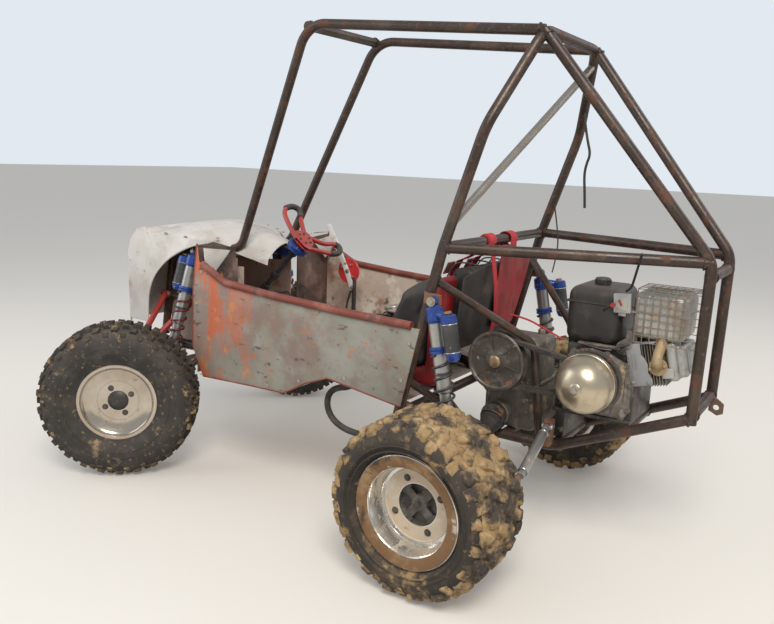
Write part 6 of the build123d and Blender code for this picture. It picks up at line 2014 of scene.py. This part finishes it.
@dataclass
class Tub:
    """Side panels with their two faces, hems, weld beads and edge trims."""

    outer_y: float = 392.3
    TOP = ((1104, 861), (1095, 797), (1060, 770), (965, 726), (719, 709), (416, 695), (158, 690))
    BOTTOM = ((215, 436), (241, 438), (430, 463), (503, 473), (594, 436), (691, 384), (846, 380),
              (1079, 371), (1131, 474), (1125, 700))
    GUSSET = ((385, 847), (249, 829), (291, 788), (332, 751), (376, 774))

    def panels(self) -> None:
        """Outer primer face and inner cream face of each side panel."""
        outer, inner, hems = bmesh.new(), bmesh.new(), bmesh.new()
        for side in BOTH:
            outline = list(self.TOP + self.BOTTOM)
            plate(outer, side_frame(side * (self.outer_y - 0.9)), outline, 1.8, 0.5)
            plate(inner, side_frame(side * (self.outer_y - 2.4)), outline, 1.2)
            for edge in (self.BOTTOM[:8], self.BOTTOM[8:] + self.TOP[:1]):
                tube(hems, [place(x, side * (self.outer_y - 1.6), z) for x, z in edge], 3.4, 2, 3)
        finish_piece("panel_faces", outer, PRIMER, replaces=["side_panels"])
        finish_piece("panel_insides", inner, CREAM)
        finish_piece("panel_hems", hems, RIM_RED)
        bm = bmesh.new()
        facing = at(1078, 0, 0) @ Matrix(((0, 0, 1), (1, 0, 0), (0, 1, 0))).to_4x4()
        for side in BOTH:
            plate(bm, facing, [(side * y, z) for y, z in self.GUSSET], 2, 0.7)
        finish_piece("cowl_gussets", bm, BONNET_WHITE)

    def beads(self) -> None:
        """Weld beads along the rim and the bolts on each panel."""
        bm = bmesh.new()
        draw = random.Random(3)
        for side in BOTH:
            line = [(200, 685), (416, 690), (719, 703), (965, 721), (1066, 772)]
            for (x1, z1), (x2, z2) in zip(line, line[1:]):
                count = int(math.hypot(x2 - x1, z2 - z1) / 46)
                for number in range(count):
                    share = (number + draw.uniform(0.3, 0.7)) / count
                    spot = place(x1 + (x2 - x1) * share, side * (self.outer_y - 1),
                                 z1 + (z2 - z1) * share + 3)
                    box(bm, Matrix.Translation(spot), (draw.uniform(10, 18), 4, 4), 1.6, 1)
        finish_piece("weld_beads", bm, BROWN_STEEL)
        bm = bmesh.new()
        for side in BOTH:
            for x, z in ((190, 640), (214, 520), (1100, 520), (1108, 640), (1080, 760), (430, 486),
                         (620, 440), (760, 396), (960, 390)):
                bolt(bm, place(x, side * self.outer_y, z), LEFT * side, 5.5, 3)
        finish_piece("panel_bolts", bm, BOLT)

    def build(self) -> None:
        """Make the tub's sheets and trims."""
        self.panels()
        self.beads()


class Cage:
    """Weld rings on the CAD tubes, which stay as they are, dark discs of painted shadow in the open rail
    ends, and the bolts at the shock mounts.
    """

    BAR_ENDS = ((102, 356, 941), (758, 194, 1617), (233, 357, 404), (1130, 144, 398), (1500, 144, 398),
                (1128, 144, 602.6), (-196, 124, 334), (-400, 123, 422), (-589, 122, 512), (-594, 117, 906))

    def joint(self, bm: Shape, spot: Point, along: Point, radius: float = 17.0) -> None:
        """Add a lumpy weld bead round a tube's end."""
        axis = basis(place(*spot), Vector(along))
        ring(bm, axis, radius, 2.6, 30, 6)
        draw = random.Random(int(spot[0]) + int(spot[2]))
        for k in range(14):
            turn = axis @ Matrix.Rotation(TURN * k / 14 + draw.uniform(-0.1, 0.1), 4, "Z")
            drum(bm, turn @ Matrix.Translation((radius * MM, 0, 0)), 3.4, -1.6, 1.6, 6)

    def build(self) -> None:
        """Make weld beads and fittings."""
        bm = bmesh.new()
        for side in BOTH:
            for spot, along in (((86, side * 365, 941), (-1, -0.35, 0)),
                                ((-86, side * 218, 1560), (1, 0, 0.05)),
                                ((-112, side * 215, 1545), (1, -0.1, 1.2)),
                                ((-578, side * 138, 500), (1, 0, -0.4)),
                                ((-575, side * 140, 945), (1, side * 0.35, 0)),
                                *(((x, side * y, z), LEFT) for x, y, z in self.BAR_ENDS)):
                self.joint(bm, spot, along)
        finish_piece("cage_welds", bm, CAGE, sharp=50)
        # Painted shadow: dark discs just inside the open rail ends stand in for the shade within the tubes.
        bm = bmesh.new()
        for side in BOTH:
            drum(bm, aimed(-597.5, side * 138, 507.5, Vector((-1, 0, 0.42))), 12.5, 0, 3, 24)
            drum(bm, aimed(1545.2, side * 160, 398, AHEAD), 12.5, -2, 0.6, 24)
        finish_piece("rail_end_shadows", bm, TUBE_MOUTH_SHADOW)
        bm = bmesh.new()
        for side in BOTH:
            bolt(bm, place(108, side * (405 + 13.4), 785), LEFT * side, 10, 8)
            drum(bm, aimed(108, side * (405 + 13.2), 785, LEFT * side), 14, 0, 3, 28)
            bolt(bm, place(1250, side * 275.4, 812), LEFT * side, 9, 8)
            bolt(bm, place(1302, side * 391, 350), LEFT * side, 9, 8)
            bolt(bm, place(18, side * 440.4, 345), LEFT * side, 9, 8)
        finish_piece("shock_bolts", bm, BOLT)


class Lines:
    """Control cables, wires and hoses that are fixed at both ends, and the strap over the tank."""

    def build(self) -> None:
        """Make every line, smooth through a few points: the fixed ones here, then those that hang free."""
        for name, radius, finish, points in (
                ("throttle_wires", 3, BRIGHT_RED, ((-6, 101, 716), (-60, 100, 712), (-120, 104, 690),
                                                   (-185, 101, 664))),
                ("spark_lead", 3.2, RUBBER, ((-300, 40, 740), (-290, 96, 762), (-330, 101, 800),
                                             (-390, 92, 790))),
                ("ground_wire", 2.4, RUBBER, ((-2, -214, 1054), (-14, -226, 980), (-26, -222, 900),
                                              (-22, -190, 824))),
                ("shift_cable", 4.5, RUBBER, ((870, -244, 640), (900, -238, 560), (860, -236, 470),
                                              (700, -228, 430), (480, -214, 420), (250, -200, 430),
                                              (60, -150, 440))),
                ("brake_line", 3, RUBBER, ((1455, -70, 440), (1380, -120, 420), (1120, -180, 408),
                                           (820, -200, 402), (420, -196, 420), (180, -170, 440),
                                           (20, -120, 470))),
                ("tank_strap", 3.6, BLACK_WEBBING, ((-437, 250, 966), (-425, 225, 935), (-405, 180, 890),
                                                    (-385, 130, 850), (-365, 104, 838)))):
            bm = bmesh.new()
            tube(bm, placed(*points), radius, 3, 3)
            finish_piece(name, bm, finish)
        self.free()

    def free(self) -> None:
        """The strap that hangs from the hoop and the hose that loops down from the tub's floor."""
        cords = (
            ("hoop_strap", 9.0, 0.345, "bare", "limp", "hanging", BLACK_WEBBING, "strap_black",
             ((-42, -321, 1380), (-52, -302, 1345), (-70, -300, 1272), (-85, -296, 1230), (-75, -292, 1195),
              (-71, -290, 1159), (-80, -288, 1092), (-84, -287, 1046))),
            ("belly_hose", 22.0, 0.622, "object", "medium", "hanging", RUBBER, "black_rubber",
             ((455, 292, 467.5), (461, 292, 440), (487, 294, 421), (525, 297, 414), (556, 299, 394),
              (569, 300, 360), (563, 300, 324), (540, 299, 294), (504, 297, 275), (460, 294, 266),
              (408, 290, 265), (360, 287, 276), (322, 284, 304), (300, 282, 344), (290, 281, 392),
              (286, 280, 446.5))))
        for name, diameter, length, end, stiffness, lay, finish, slot, points in cords:
            curve = bpy.data.curves.new(name, "CURVE")
            curve.dimensions = "3D"
            spline = curve.splines.new("NURBS")
            spline.points.add(len(points) - 1)
            for point, spot in zip(spline.points, points):
                point.co = (*place(*spot), 1)
            spline.order_u = 3
            spline.use_endpoint_u = True
            curve.bevel_depth = diameter / 2 * MM
            curve.bevel_resolution = 4
            curve.use_fill_caps = True
            cord = bpy.data.objects.new(f"{name}_cord", curve)
            bpy.context.collection.objects.link(cord)
            curve.materials.append(finish.build())
            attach(cord, "chassis")
            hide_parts(name)


KEPT: tuple[tuple[str, Finish], ...] = (
    ("main_hoop", CAGE), ("side_rails", CAGE), ("rear_stays", CAGE), ("lower_rails", CAGE),
                                        ("middle_rails", CAGE),
    ("waist_rails", CAGE), ("crossbars", CAGE), ("engine_struts", CAGE), ("hoop_brace", BRIGHT),
    ("brackets", BROWN_STEEL), ("tub_rims", RIM_RED), ("tub_floor", CREAM), ("foot_box", FOOTBOX),
    # The front bulkhead wears painted shade: its darkness stands for the bonnet's shadow.
    ("front_bulkhead", BULKHEAD_PAINTED_SHADE), ("tow_eye", TOW_RED), ("upper_arms", RED), ("lower_arms", CAGE),
    ("lateral_links", SILVER), ("tie_rods", BOLT), ("steering_rack", BOLT), ("column_bearing", BLACK),
    ("rear_arms", BROWN_STEEL), ("half_shafts", BOLT), ("hub_rear_left", DARK_CAST),
                                        ("hub_rear_right", DARK_CAST))


def main() -> None:
    """Build the scene and report each piece."""
    logging.basicConfig(level=logging.INFO, format="%(name)s %(message)s")
    noise.seed_set(MUD_SEED)
    set_stage()
    set_camera()
    taken = set(frame["nodes"])
    for node, finish in KEPT:
        if node in taken:
            dress(node, finish)
            LOG.info("node %s wears %s", node, finish.name)
    parts = [*wheels(), *shocks(), FrontAxle(), RearAxle(), BeltDrive(), Engine(), Seat(), Steering(),
             Controls(), Nose(), Tub(), Cage(), Lines()]
    for part in parts:
        before = len(bpy.data.objects)
        part.build()
        LOG.info("%s added %d pieces", type(part).__name__, len(bpy.data.objects) - before)


if __name__ == "__main__":
    main()
